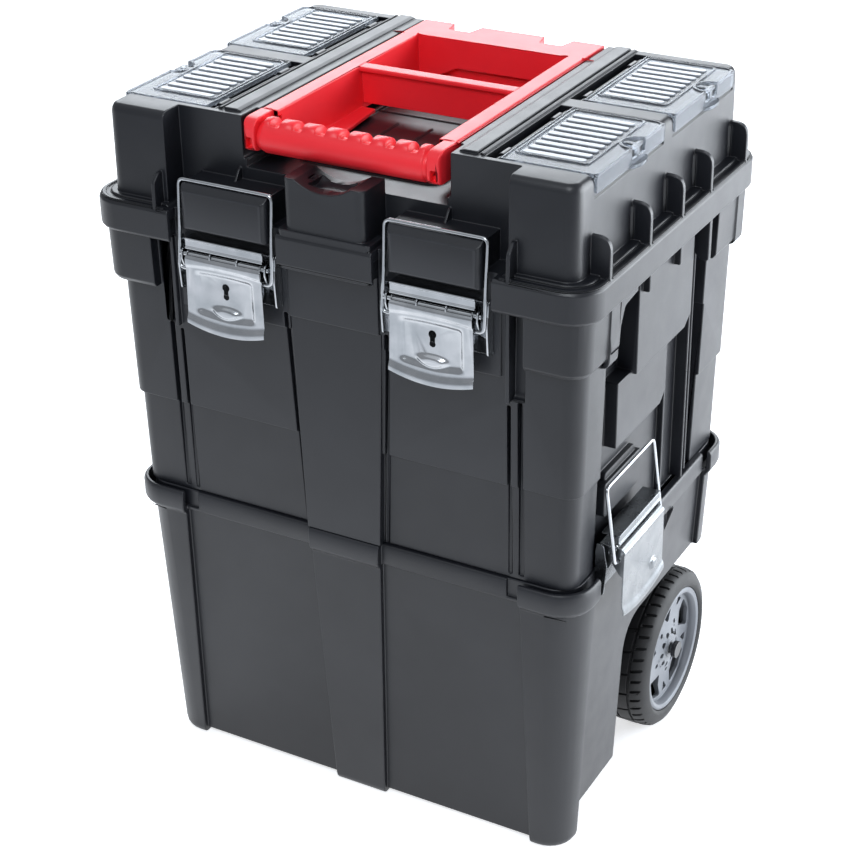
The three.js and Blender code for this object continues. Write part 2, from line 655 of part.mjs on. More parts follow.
function handleFrame() {
  const railInner = handleHalf - 16;
  const top = [handleTop - 5, handleTop];
  const webFoot = recessFloor + 4;
  const rail = union(
    block([railInner, handleHalf], [gripY + gripR + 1, handlePivotY - 10], top),
    block([railInner, railInner + 3], [gripY + gripR + 1, handlePivotY - 10], [webFoot, handleTop - 1]),
    block([railInner, handleHalf], [handlePivotY - 12, handlePivotY + 10], [handlePivotZ - 9, handleTop]),
    block([capInner, handleHalf], [gripY - gripR, gripY + 20], [gripZ - 11, handleTop]));
  const across = [-railInner - 1, railInner + 1];
  const cross = union(
    block(across, [crossY - 5.5, crossY + 5.5], top),
    block(across, [crossY - 1.5, crossY + 1.5], [webFoot + 4, handleTop - 1]));
  const rear = union(
    block([-handleHalf, handleHalf], [handlePivotY - 30, handlePivotY + 12], top),
    block(across, [handlePivotY - 30, handlePivotY - 27], [webFoot, handleTop - 1]));
  const notches = bothSides(block([tubeX - 13, tubeX + 13], [handlePivotY - 5, handlePivotY + 22],
    [handleTop - 9, handleTop + 1]));
  const pinHole = rod(handlePivotR + gap, 2 * collarWidth, [0, handlePivotY, handlePivotZ], 'x', 16);
  const socket = rod(gripEndR + gap, 2 * capInner + 8, [0, gripY, gripZ], 'x', 16);
  return cut(union(bothSides(rail), cross, rear), notches, pinHole, socket);
}

function handleGrip() {
  const grip = [rod(gripR, 2 * (capInner - 1), [0, gripY, gripZ], 'x', 20)];
  const ends = rod(gripEndR, 2 * (capInner + 3), [0, gripY, gripZ], 'x', 16);
  const lobeCount = 8;
  for (let i = 0; i < lobeCount; i += 1) {
    const x = (i - (lobeCount - 1) / 2) * 17.5;
    grip.push(block([x - 6, x + 6], [gripY - 6, gripY + 10], [gripZ + 4, handleTop - 1]));
  }
  return union(grip, ends);
}

place('handle_frame', handleFrame(), red);
place('handle_grip', handleGrip(), red);
for (const [side, sign] of sides) {
  const pin = rod(handlePivotR, 26, [sign * (handleSlot - 0.5), handlePivotY, handlePivotZ], 'x', 16);
  place(`handle_pin_${side}`, pin, steel);
}

// ---- pull handle --------------------------------------------------------

function tube(radius, z) {
  const middle = (z[0] + z[1]) / 2;
  const bore = rod(radius - tubeWall, z[1] - z[0] + 2, [0, 0, middle], 'z');
  return cut(rod(radius, z[1] - z[0], [0, 0, middle], 'z'), bore);
}

const middleRadius = tubeRadius - tubeWall - tubeSlip;
const innerRadius = middleRadius - tubeWall - tubeSlip;
const tubeTop = tubeBottom + tubeLength;
for (const [side, sign] of sides) {
  const at = [sign * tubeX, tubeY, 0];
  const middleSpan = [tubeBottom + tubeSteps, tubeTop + tubeSteps];
  place(`outer_tube_${side}`, tube(tubeRadius, [tubeBottom, tubeTop]), steel, at);
  place(`middle_tube_${side}`, tube(middleRadius, middleSpan), steel, at);
  place(`inner_tube_${side}`, tube(innerRadius, [tubeBottom + 2 * tubeSteps, gripBottom - gap]), steel, at);
}

const gripWidth = 2 * (tubeX + gripMargin);
for (const [name, z] of [['lower', tubeBottom + 12], ['upper', rimTop - 44]]) {
  const clampBlock = raised(roundedRectangle(gripWidth, gripDepth + 2, 8), [z, z + 24]);
  const holes = bothSides(rod(tubeRadius + gap, 99, [tubeX, 0, z], 'z', 20));
  const back = channelFace + 2 + gap + (gripDepth + 2) / 2;
  const shifted = holes.map((hole) => hole.translate([0, tubeY - back, 0]));
  place(`tube_clamp_${name}`, cut(clampBlock, shifted), black, [0, back, 0]);
}

const buttonHalf = 12;
const buttonHeight = 8;
function pullGrip() {
  const body = raised(roundedRectangle(gripWidth, gripDepth, 10), [gripBottom, gripTop]);
  const fingers = block([gripMargin - tubeX, tubeX - gripMargin], [-far, far],
    [gripBottom + 8, gripTop - 14]);
  const well = block([-buttonHalf - gap, buttonHalf + gap], [-6 - gap, 6 + gap],
    [gripTop - buttonHeight, gripTop + 1]);
  return cut(body, fingers, well);
}
place('pull_grip', pullGrip(), black, [0, tubeY + 1, 0]);
const button = block([-buttonHalf, buttonHalf], [-6, 6], [gripTop - buttonHeight + 4, gripTop + 2]);
place('release_button', button, red, [0, tubeY + 1, 0]);

export default box;
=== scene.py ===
import math
import bpy
import bmesh
from mathutils import Matrix, Vector


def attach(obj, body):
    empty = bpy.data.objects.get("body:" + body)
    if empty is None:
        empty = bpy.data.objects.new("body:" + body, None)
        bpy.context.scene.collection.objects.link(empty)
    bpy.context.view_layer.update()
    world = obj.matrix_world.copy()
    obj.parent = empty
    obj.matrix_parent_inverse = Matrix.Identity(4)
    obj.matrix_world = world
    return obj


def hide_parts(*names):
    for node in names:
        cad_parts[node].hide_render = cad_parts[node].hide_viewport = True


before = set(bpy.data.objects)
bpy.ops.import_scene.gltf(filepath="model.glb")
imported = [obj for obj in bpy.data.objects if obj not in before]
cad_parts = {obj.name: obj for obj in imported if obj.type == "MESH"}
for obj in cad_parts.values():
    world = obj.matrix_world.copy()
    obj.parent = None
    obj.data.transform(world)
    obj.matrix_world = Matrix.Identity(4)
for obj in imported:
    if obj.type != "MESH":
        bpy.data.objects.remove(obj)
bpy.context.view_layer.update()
scene = bpy.context.scene
mm = 0.001
far = 400  # past every face of the box, for cutting tools

# what several pieces share, in millimetres
hinge = {"across": 130, "y": 178, "z": 508, "barrel": 5.5, "bore": 2.8}
latchPlace = {"frontAcross": 94, "frontWall": 163, "frontPinZ": 505,
              "sideWall": 207.5, "sideAt": -62, "sidePinZ": 289}
organiserSpans = {"front": (-133, -5), "rear": (13, 141)}
organiserPin = {"x": 125.5, "z": 612, "radius": 1.8}
handlePivot = {"y": 138, "z": 604, "radius": 4.3}


# a solid is a closed mesh, in millimetres until piece() turns it into metres

def solidFrom(points, faces):
    mesh = bpy.data.meshes.new("solid")
    mesh.from_pydata([tuple(p) for p in points], [], faces)
    build = bmesh.new()
    build.from_mesh(mesh)
    bmesh.ops.recalc_face_normals(build, faces=build.faces)
    build.to_mesh(mesh)
    build.free()
    return mesh


def stacked(rings, closed=True):
    count = len(rings[0])
    points = [p for ring in rings for p in ring]
    faces = []
    for level in range(len(rings) - 1):
        for i in range(count):
            j = (i + 1) % count
            a, b = level * count, (level + 1) * count
            faces.append((a + i, a + j, b + j, b + i))
    if closed:
        faces.append(tuple(range(count - 1, -1, -1)))
        top = (len(rings) - 1) * count
        faces.append(tuple(range(top, top + count)))
    return solidFrom(points, faces)


def block(x0, x1, y0, y1, z0, z1):
    outline = [(x0, y0), (x1, y0), (x1, y1), (x0, y1)]
    return prismZ(outline, z0, z1)


def prismZ(outline, z0, z1):
    return stacked([[(x, y, z0) for x, y in outline], [(x, y, z1) for x, y in outline]])


def prismX(outline, x0, x1):  # the outline is in Y and Z
    return stacked([[(x0, y, z) for y, z in outline], [(x1, y, z) for y, z in outline]])


def prismY(outline, y0, y1):  # the outline is in X and Z
    return stacked([[(x, y0, z) for x, z in outline], [(x, y1, z) for x, z in outline]])


def rounded(outline, radius, steps=5):  # an outline with its corners turned
    result = []
    for i, corner in enumerate(outline):
        r = radius[i] if isinstance(radius, (list, tuple)) else radius
        p, a, b = Vector(corner), Vector(outline[i - 1]), Vector(outline[(i + 1) % len(outline)])
        if r <= 0:
            result.append(tuple(p))
            continue
        toA, toB = a - p, b - p
        reach = r / max(math.tan(toA.angle(toB) / 2), 0.05)
        reach = min(reach, toA.length * 0.49, toB.length * 0.49)
        start, end = p + toA.normalized() * reach, p + toB.normalized() * reach
        for k in range(steps + 1):
            u = k / steps
            result.append(tuple(start * (1 - u) ** 2 + p * 2 * u * (1 - u) + end * u * u))
    return result


def rectangle(x0, x1, y0, y1):
    return [(x0, y0), (x1, y0), (x1, y1), (x0, y1)]


def loft(width, depth, radius, sections, midY=0, steps=7):  # sections: (height, how far out)
    rings = []
    for z, out in sections:
        x, y, r = width / 2 + out, depth / 2 + out, max(radius + out, 1)
        ring = []
        for cx, cy, begin in ((x, -y, -90), (x, y, 0), (-x, y, 90), (-x, -y, 180)):
            sx, sy = (1 if cx > 0 else -1), (1 if cy > 0 else -1)
            for k in range(steps + 1):
                angle = math.radians(begin + 90 * k / steps)
                ring.append((cx - sx * r + r * math.cos(angle),
                             midY + cy - sy * r + r * math.sin(angle), z))
        rings.append(ring)
    return stacked(rings)


def leaning(width, depth, radius, low, high, lean, midY=0):
    return loft(width, depth, radius, [(low, 0), (high, lean * (high - low))], midY)


def rod(axis, radius, length, centre, sides=32):  # a round bar or a round cutter along one axis
    ring = [(radius * math.cos(t), radius * math.sin(t))
            for t in (2 * math.pi * i / sides for i in range(sides))]
    cx, cy, cz = centre
    h = length / 2
    if axis == "x":
        return stacked([[(cx + s, cy + a, cz + b) for a, b in ring] for s in (-h, h)])
    if axis == "y":
        return stacked([[(cx + a, cy + s, cz + b) for a, b in ring] for s in (-h, h)])
    return stacked([[(cx + a, cy + b, cz + s) for a, b in ring] for s in (-h, h)])


def turnedX(profile, sides=72):  # a closed profile of (radius, x) turned about X
    points, faces, count = [], [], len(profile)
    for i in range(sides):
        t = 2 * math.pi * i / sides
        points += [(x, r * math.cos(t), r * math.sin(t)) for r, x in profile]
    for i in range(sides):
        a, b = i * count, ((i + 1) % sides) * count
        for k in range(count):
            m = (k + 1) % count
            faces.append((a + k, a + m, b + m, b + k))
    return solidFrom(points, faces)


def moved(solid, offset=(0, 0, 0), turn=0, axis="Z"):
    copy = solid.copy()
    copy.transform(Matrix.Translation(offset) @ Matrix.Rotation(turn, 4, axis))
    return copy


def near(value, low, high, soft):  # 1 inside the span, 0 outside, smooth between
    def ease(t):
        t = max(0.0, min(1.0, t))
        return t * t * (3 - 2 * t)
    return ease((value - low) / soft) * ease((high - value) / soft)


def mirrored(solid):
    copy = solid.copy()
    copy.transform(Matrix.Scale(-1, 4, (1, 0, 0)))
    copy.flip_normals()
    return copy


def both(*solids):
    return [s for solid in solids for s in (solid, mirrored(solid))]


def flat(items):
    return [one for item in items for one in (flat(item) if isinstance(item, (list, tuple)) else [item])]


def combined(operation, first, others):
    others = flat(others)
    if not others:
        return first
    temps = [bpy.data.objects.new("temp", mesh) for mesh in [first, *others]]
    for temp in temps:
        scene.collection.objects.link(temp)
    for other in temps[1:]:
        step = temps[0].modifiers.new("step", "BOOLEAN")
        step.operation, step.solver, step.object = operation, "MANIFOLD", other
    graph = bpy.context.evaluated_depsgraph_get()
    result = bpy.data.meshes.new_from_object(temps[0].evaluated_get(graph))
    for temp in temps:
        bpy.data.objects.remove(temp)
    return result


def weld(*solids):
    solids = flat(solids)
    return combined("UNION", solids[0], solids[1:])


def carve(solid, *tools):
    return combined("DIFFERENCE", solid, tools)


def common(solid, other):
    return combined("INTERSECT", solid, [other])


def wire(points, radius, bend):  # a round wire with turned corners
    curve = bpy.data.curves.new("wire", "CURVE")
    curve.dimensions, curve.bevel_depth, curve.bevel_resolution = "3D", radius, 4
    curve.use_fill_caps = True
    path = [Vector(points[0])]
    for i in range(1, len(points) - 1):
        p, a, b = (Vector(points[k]) for k in (i, i - 1, i + 1))
        start, end = p + (a - p).normalized() * bend, p + (b - p).normalized() * bend
        for k in range(9):
            u = k / 8
            path.append(start * (1 - u) ** 2 + p * 2 * u * (1 - u) + end * u * u)
    path.append(Vector(points[-1]))
    spline = curve.splines.new("POLY")
    spline.points.add(len(path) - 1)
    for spot, p in zip(spline.points, path):
        spot.co = (*p, 1)
    temp = bpy.data.objects.new("wire", curve)
    scene.collection.objects.link(temp)
    mesh = bpy.data.meshes.new_from_object(temp.evaluated_get(bpy.context.evaluated_depsgraph_get()))
    bpy.data.objects.remove(temp)
    build = bmesh.new()
    build.from_mesh(mesh)
    bmesh.ops.remove_doubles(build, verts=build.verts, dist=0.001)
    bmesh.ops.recalc_face_normals(build, faces=build.faces)
    build.to_mesh(mesh)
    build.free()
    return mesh


def piece(name, solid, body, material, replaces=(), edge=0.8, segments=2, angle=32):
    build = bmesh.new()
    build.from_mesh(solid)
    bmesh.ops.remove_doubles(build, verts=build.verts, dist=0.03)
    bmesh.ops.dissolve_limit(build, angle_limit=math.radians(0.4), verts=build.verts, edges=build.edges)
    bmesh.ops.scale(build, vec=(mm, mm, mm), verts=build.verts)
    for face in build.faces:
        face.smooth = True
    mesh = bpy.data.meshes.new(name)
    build.to_mesh(mesh)
    build.free()
    made = bpy.data.objects.new(name, mesh)
    scene.collection.objects.link(made)
    mesh.materials.append(material)
    if edge:
        soften(made, edge, segments, angle)
    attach(made, body)
    if replaces:
        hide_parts(*replaces)
    return made


def soften(made, edge, segments=2, angle=32):
    bevel = made.modifiers.new("edges", "BEVEL")
    bevel.width, bevel.segments = edge * mm, segments
    bevel.limit_method, bevel.angle_limit = "ANGLE", math.radians(angle)
    bevel.use_clamp_overlap, bevel.harden_normals = False, True
    bevel.miter_outer = "MITER_ARC"



def finish(name, deep, pale, rough, grain=1500, depth=0.1, metal=0, spread=12, wear=0.0, **sockets):
    made = bpy.data.materials.new(name)
    made.use_nodes = True
    nodes, links = made.node_tree.nodes, made.node_tree.links
    shader = nodes["Principled BSDF"]
    shader.inputs["Metallic"].default_value = metal
    for key, value in sockets.items():
        shader.inputs[key.replace("_", " ")].default_value = value
    where = nodes.new("ShaderNodeTexCoord")

    def noise(scale, detail):
        node = nodes.new("ShaderNodeTexNoise")
        node.inputs["Scale"].default_value, node.inputs["Detail"].default_value = scale, detail
        links.new(where.outputs["Object"], node.inputs["Vector"])
        return node.outputs["Fac"]

    ramp = nodes.new("ShaderNodeValToRGB")
    ramp.color_ramp.elements[0].position, ramp.color_ramp.elements[1].position = 0.3, 0.7
    ramp.color_ramp.elements[0].color, ramp.color_ramp.elements[1].color = (*deep, 1), (*pale, 1)
    links.new(noise(spread, 4), ramp.inputs["Fac"])
    colour = ramp.outputs["Color"]
    if wear:  # handled edges rub paler
        edges = nodes.new("ShaderNodeNewGeometry")
        rub = nodes.new("ShaderNodeMapRange")
        rub.inputs["From Min"].default_value, rub.inputs["From Max"].default_value = 0.52, 0.62
        rub.inputs["To Max"].default_value = wear
        links.new(edges.outputs["Pointiness"], rub.inputs["Value"])
        mix = nodes.new("ShaderNodeMix")
        mix.data_type = "RGBA"
        links.new(rub.outputs["Result"], mix.inputs["Factor"])
        links.new(colour, mix.inputs["A"])
        mix.inputs["B"].default_value = (*[min(1, c * 2.2 + 0.03) for c in pale], 1)
        colour = mix.outputs["Result"]
    links.new(colour, shader.inputs["Base Color"])
    gloss = nodes.new("ShaderNodeMapRange")
    gloss.inputs["To Min"].default_value, gloss.inputs["To Max"].default_value = rough
    links.new(noise(45, 3), gloss.inputs["Value"])
    links.new(gloss.outputs["Result"], shader.inputs["Roughness"])
    bump = nodes.new("ShaderNodeBump")
    bump.inputs["Strength"].default_value, bump.inputs["Distance"].default_value = depth, 0.0002
    links.new(noise(grain, 2), bump.inputs["Height"])
    links.new(bump.outputs["Normal"], shader.inputs["Normal"])
    return made


blackPlastic = finish("blackMouldedShell", (0.0055, 0.0063, 0.0092), (0.0098, 0.0108, 0.0145), (0.33, 0.46),
                      grain=1400, depth=0.2, wear=0.3)
softBlack = finish("blackGlossyTrim", (0.008, 0.008, 0.01), (0.013, 0.013, 0.016), (0.25, 0.36), depth=0.12)
redPlastic = finish("redSatinHandle", (0.88, 0.016, 0.026), (0.94, 0.026, 0.038), (0.34, 0.44),
                    grain=900, depth=0.08, wear=0.08)
clearPlastic = finish("clearOrganiserLid", (0.36, 0.39, 0.43), (0.44, 0.47, 0.52), (0.2, 0.3),
                      grain=500, depth=0.03, Transmission_Weight=0.86, IOR=1.22)
frostedRib = finish("frostedLidRib", (0.42, 0.45, 0.50), (0.50, 0.53, 0.58), (0.2, 0.3),
                    grain=500, depth=0.03, Transmission_Weight=0.35, IOR=1.45)
zincSteel = finish("brightZincPlate", (0.42, 0.44, 0.46), (0.56, 0.57, 0.59), (0.12, 0.24),
                   grain=700, depth=0.05, metal=1, spread=60)
# a darker, slightly rougher copy of the same zinc for the side latches: the darker colour is painted shade,
# standing in for the dimmer light those levers catch
zincDarkenedForShade = finish("zincPlatePaintedShade", (0.17, 0.18, 0.19), (0.24, 0.25, 0.26), (0.22, 0.34),
                   grain=700, depth=0.05, metal=1, spread=60)
tubeSteel = finish("brushedTube", (0.45, 0.45, 0.47), (0.58, 0.58, 0.59), (0.25, 0.36), grain=900, metal=1)
silverRim = finish("silverWheelRim", (0.15, 0.16, 0.18), (0.20, 0.21, 0.23), (0.36, 0.46), grain=1100,
                   metal=0.3, wear=0.2)
tyreRubber = finish("tyreRubber", (0.007, 0.007, 0.008), (0.012, 0.012, 0.013), (0.5, 0.7),
                    grain=1200, depth=0.4)
print("finishes made")

binSize = {"rimWidth": 435, "rimDepth": 324, "rimTop": 270, "rimHeight": 20, "rimCorner": 30, "lean": 0.045,
           "proud": 5, "wall": 4, "floor": 28, "skirt": 4, "columnFoot": 169, "columnLean": 0.027,
           "pilasterFoot": 25, "pilasterLean": 0.034, "corner": 20, "archInner": 144.5, "archFront": -35,
           "archTop": 172, "bayTop": 98, "bayFront": 62, "axleY": 82, "axleZ": 76, "axleBore": 5.3,
           "channelHalf": 64, "channelFace": 154, "latchBreak": (-120, -4)}


def lowerBin():
    s = binSize
    lean, wall = s["lean"], s["wall"]
    rimLow = s["rimTop"] - s["rimHeight"]
    panelX, panelY = s["rimWidth"] - 20, s["rimDepth"] - 18  # at the underside of the rim

    def walls(low, high, grow, radius):
        drop = 2 * lean * (rimLow - low)
        return leaning(panelX + grow - drop, panelY + grow - drop, radius, low, high, lean)

    panels = walls(s["floor"], rimLow + wall, 0, s["corner"])
    drop = 2 * lean * rimLow
    footX, footY = panelX + 2 * s["proud"] - drop, panelY + 2 * s["proud"] - drop
    proud = loft(footX, footY, s["corner"] + s["proud"],
                 [(0, -4), (1.2, -1.8), (3.5, -0.4), (7, lean * 7), (rimLow + wall, lean * (rimLow + wall))])
    inner, tall = s["columnFoot"], s["rimTop"] + 1
    column = [(inner, -1), (far, -1), (far, tall), (inner - s["columnLean"] * tall, tall)]
    cornerMask, rearMask = prismY(column, -far, -118), prismY(column, 116, far)
    half, top = s["pilasterFoot"], s["pilasterFoot"] + s["pilasterLean"] * tall
    middleMask = prismY([(-half, -1), (half, -1), (top, tall), (-top, tall)], -far, -120)
    masks = weld(both(cornerMask, rearMask), middleMask)
    columns = common(proud, masks)
    ledge = loft(s["rimWidth"] - 12, s["rimDepth"] - 12, s["rimCorner"] - 6,
                 [(rimLow, -1.2), (rimLow + 2, 0), (s["rimTop"] - 2, 0), (s["rimTop"], -1.2)])
    full = loft(s["rimWidth"], s["rimDepth"], s["rimCorner"],
                [(rimLow - 4, -5), (rimLow, -1.2), (rimLow + 3, 0), (s["rimTop"] - 3, 0),
                 (s["rimTop"], -1.6)])
    pad = block(-s["channelHalf"], s["channelHalf"], 130, s["channelFace"] + 2, s["bayTop"], rimLow + 5)
    skirt = common(walls(s["skirt"], s["floor"] + 1, 0, s["corner"]),
                   block(-inner - 3, inner + 3, -far, -138, 0, s["rimTop"]))
    shell = weld(panels, columns, ledge, common(full, masks), pad, skirt)

    hollowLow = s["floor"] + wall
    hollow = walls(hollowLow, s["rimTop"] + 1, -2 * wall, s["corner"] - wall)
    lip = loft(2 * 203.5, 2 * 149, 20, [(s["rimTop"] - 5, 0), (s["rimTop"] + 1, 0)])
    archHouse = both(block(s["archInner"] - wall, far, s["archFront"] - wall, far, -1, s["archTop"] + wall))
    bayHouse = block(-far, far, s["bayFront"] - wall, far, -1, s["bayTop"] + wall)
    shell = carve(shell, carve(hollow, archHouse, bayHouse), lip)

    archLine = rounded([(s["archFront"], -5), (s["archFront"], s["archTop"]), (far, s["archTop"]), (far, -5)],
                       [0, 34, 0, 0], 8)
    arches = both(prismX(archLine, s["archInner"], far))
    bay = block(8 - s["archInner"], s["archInner"] - 8, s["bayFront"], far, -1, s["bayTop"])
    axle = rod("x", s["axleBore"], 2 * far, (0, s["axleY"], s["axleZ"]))
    breaks = both(block(latchPlace["sideWall"], far, *s["latchBreak"], rimLow - 1, s["rimTop"] + 1))
    rear = block(-s["channelHalf"], s["channelHalf"], s["channelFace"] + 2, far, rimLow - 1, s["rimTop"] + 1)
    shell = carve(shell, arches, bay, axle, breaks, rear)

    # the rim stands off the upper box around the corners
    gutter = carve(loft(s["rimWidth"] - 9, s["rimDepth"] - 9, s["rimCorner"] - 4, [(254, 0), (272, 0)]),
                   loft(415, 307, 23, [(253, 0), (273, 0)]))
    corners = weld(both(block(150, far, -far, -118, 250, 280), block(150, far, 112, far, 250, 280)))
    bracket = [(200, 226), (206, 226), (213.5, 250.5), (200, 250.5)]
    brackets = both(prismY(bracket, -124, -120.5), prismY(bracket, 40, 43.5))
    return weld(carve(shell, common(gutter, corners)), brackets)


piece("binShell", lowerBin(), "bin", blackPlastic, ["lower_bin"], edge=1.1)
print("lower bin made")

boxSize = {"bottom": 270.3, "step": 357, "cornerStep": 467, "top": 530, "lean": 0.02, "pocketX": 200,
           "deepX": 197.5, "plateX": 215, "catchX": 208, "plateRoot": 194, "gussetRoot": 196,
           "gussetTop": 513, "channelHalf": 64, "channelFace": 154}


def upperBox():
    s = boxSize
    low = leaning(412, 304, 13, s["bottom"], s["step"], s["lean"])
    middle = leaning(420, 312, 14, s["step"] - 0.5, s["top"], s["lean"])
    flare = loft(436, 336, 18, [(s["cornerStep"] - 2, -3), (s["cornerStep"] + 2, 0), (s["top"], 1.6)])
    cornersOnly = weld(both(block(168, far, -far, -113, 400, 600),
                            block(168, far, 96, far, 400, 600)))
    lip = loft(440, 340, 22, [(514, 0), (s["top"], 0)])
    pilaster = prismY([(-35, s["bottom"]), (35, s["bottom"]), (44, s["top"]), (-44, s["top"])], -160, -140)
    upperPad = prismY([(-42, 465), (42, 465), (44, s["top"]), (-44, s["top"])], -163, -140)
    nest = loft(401, 292, 14, [(262, -2), (266, 0), (272, 0)])
    body = weld(low, middle, common(flare, cornersOnly), lip, pilaster, upperPad, nest)

    # side pockets with their raised plates, catches and gussets
    deep = rounded([(-112, 424), (90, 424), (90, 512), (-112, 512)], [0, 0, 5, 5])
    shallow = [(-112, s["bottom"] - 2), (92, s["bottom"] - 2), (92, 425), (-112, 425)]
    body = carve(body, both(prismX(deep, s["deepX"], far), prismX(shallow, s["pocketX"], far)))
    upperPlate = rounded([(-59, 425), (40, 425), (53, 434), (53, 513), (-59, 513)], [2, 3, 3, 0, 0])
    lowerPlate = rounded([(-86, 428), (-86, 370), (4, 370), (13, 378), (13, 428)], [0, 2, 3, 3, 0])
    root, deepRoot, high = s["gussetRoot"], s["plateRoot"], s["gussetTop"]
    plates = both(prismX(upperPlate, deepRoot, s["plateX"]), prismX(lowerPlate, deepRoot, s["plateX"] - 4))
    catches = both(prismX(rounded(rectangle(-98, -26, 312, 343), 4), root, s["catchX"]),
                   prismX(rounded(rectangle(-92, -32, 318, 349), 4), root, s["catchX"] - 3))
    ribs = [both(block(deepRoot, face, y, y + 3, s["bottom"] + 1, top))
            for face, y, top in ((211, 60, 500), (208, 74, 500), (206, 24, 424))]
    web = [(-124, high), (-124, 472), (-107, 472), (-105, 488), (-98, 502), (-74, 505), (-74, high)]
    gussets = [both(prismX(rounded(web, [0, 1, 3, 6, 6, 0, 0]), root, 220))]
    for y0, y1, foot in ((-125, -108, 459), (136, 153, 463)):  # the big ones at the corners
        line = [(root, high), (220.5, high), (219.5, foot), (203, foot), (root, foot + 3)]
        gussets.append(both(prismY(rounded(line, [0, 0, 7, 6, 0]), y0, y1)))
    for y, foot in ((-54, 495), (8, 494), (70, 474)):
        line = [(root, high), (221, high), (221, foot), (214, foot), (205, foot + 9), (root, foot + 9)]
        gussets.append(both(prismY(rounded(line, [0, 0, 2, 4, 3, 0]), y, y + 6)))
    body = weld(body, plates, catches, ribs, gussets)

    # front: latch pads, the paired grooves beside the corners and along the middle
    pads = both(block(42, 146, -160.2, -150, 452, s["top"]))
    body = carve(weld(body, pads), both(block(41, 148, -far, -160.2, 440, 540)))
    slotLine = rounded([(-far, 511), (-151.5, 511), (-151.5, 434), (-far, 424)], [0, 3, 6, 0])
    slot = both(prismX(slotLine, 154, 165))
    fins = both(block(150.5, 154, -162.5, -150, 432, 512))
    lowSlots = both(block(150, 153, -far, -151, 274, 428), block(159, 163.5, -far, -150, 274, 432))
    midLine = prismY([(36, s["bottom"] - 2), (39.5, s["bottom"] - 2), (48, 466), (44.5, 466)], -far, -152)
    backSlots = both(block(170, 175, 149, far, 276, 505), block(182, 187, 149, far, 276, 505))
    channel = block(-s["channelHalf"], s["channelHalf"], s["channelFace"], far, 250, s["top"] + 1)
    body = carve(weld(body, fins), slot, lowSlots, both(midLine), backSlots, channel)

    hollow = leaning(384, 284, 12, 266, 350, s["lean"])
    hollowTop = leaning(382, 290, 12, 349, s["top"] + 1, s["lean"])
    body = carve(body, hollow, hollowTop)
    arms, y, z = [], hinge["y"], hinge["z"]
    for a, b in ((110, 120), (140, 150)):
        arms.append(both(rod("x", hinge["barrel"], b - a, ((a + b) / 2, y, z)),
                         block(a, b, 150, y, z - hinge["barrel"], z - 1)))
    return carve(weld(body, arms), rod("x", hinge["bore"], 450, (0, y, z), 16))


piece("upperShell", upperBox(), "upper_box", blackPlastic, ["upper_body"], edge=1.0)
print("upper box made")

lidSize = {"collarBottom": 512, "collarTop": 539, "top": 616, "towerX": 207, "towerFront": 161,
           "rear": 156, "recess": 139, "inner": 152, "finTop": 572, "finThick": 5, "finOut": 223.5,
           "deck": 560, "floor": 574, "catchFront": 172, "catchHalf": 40, "middleHalf": 36, "middleTop": 586}


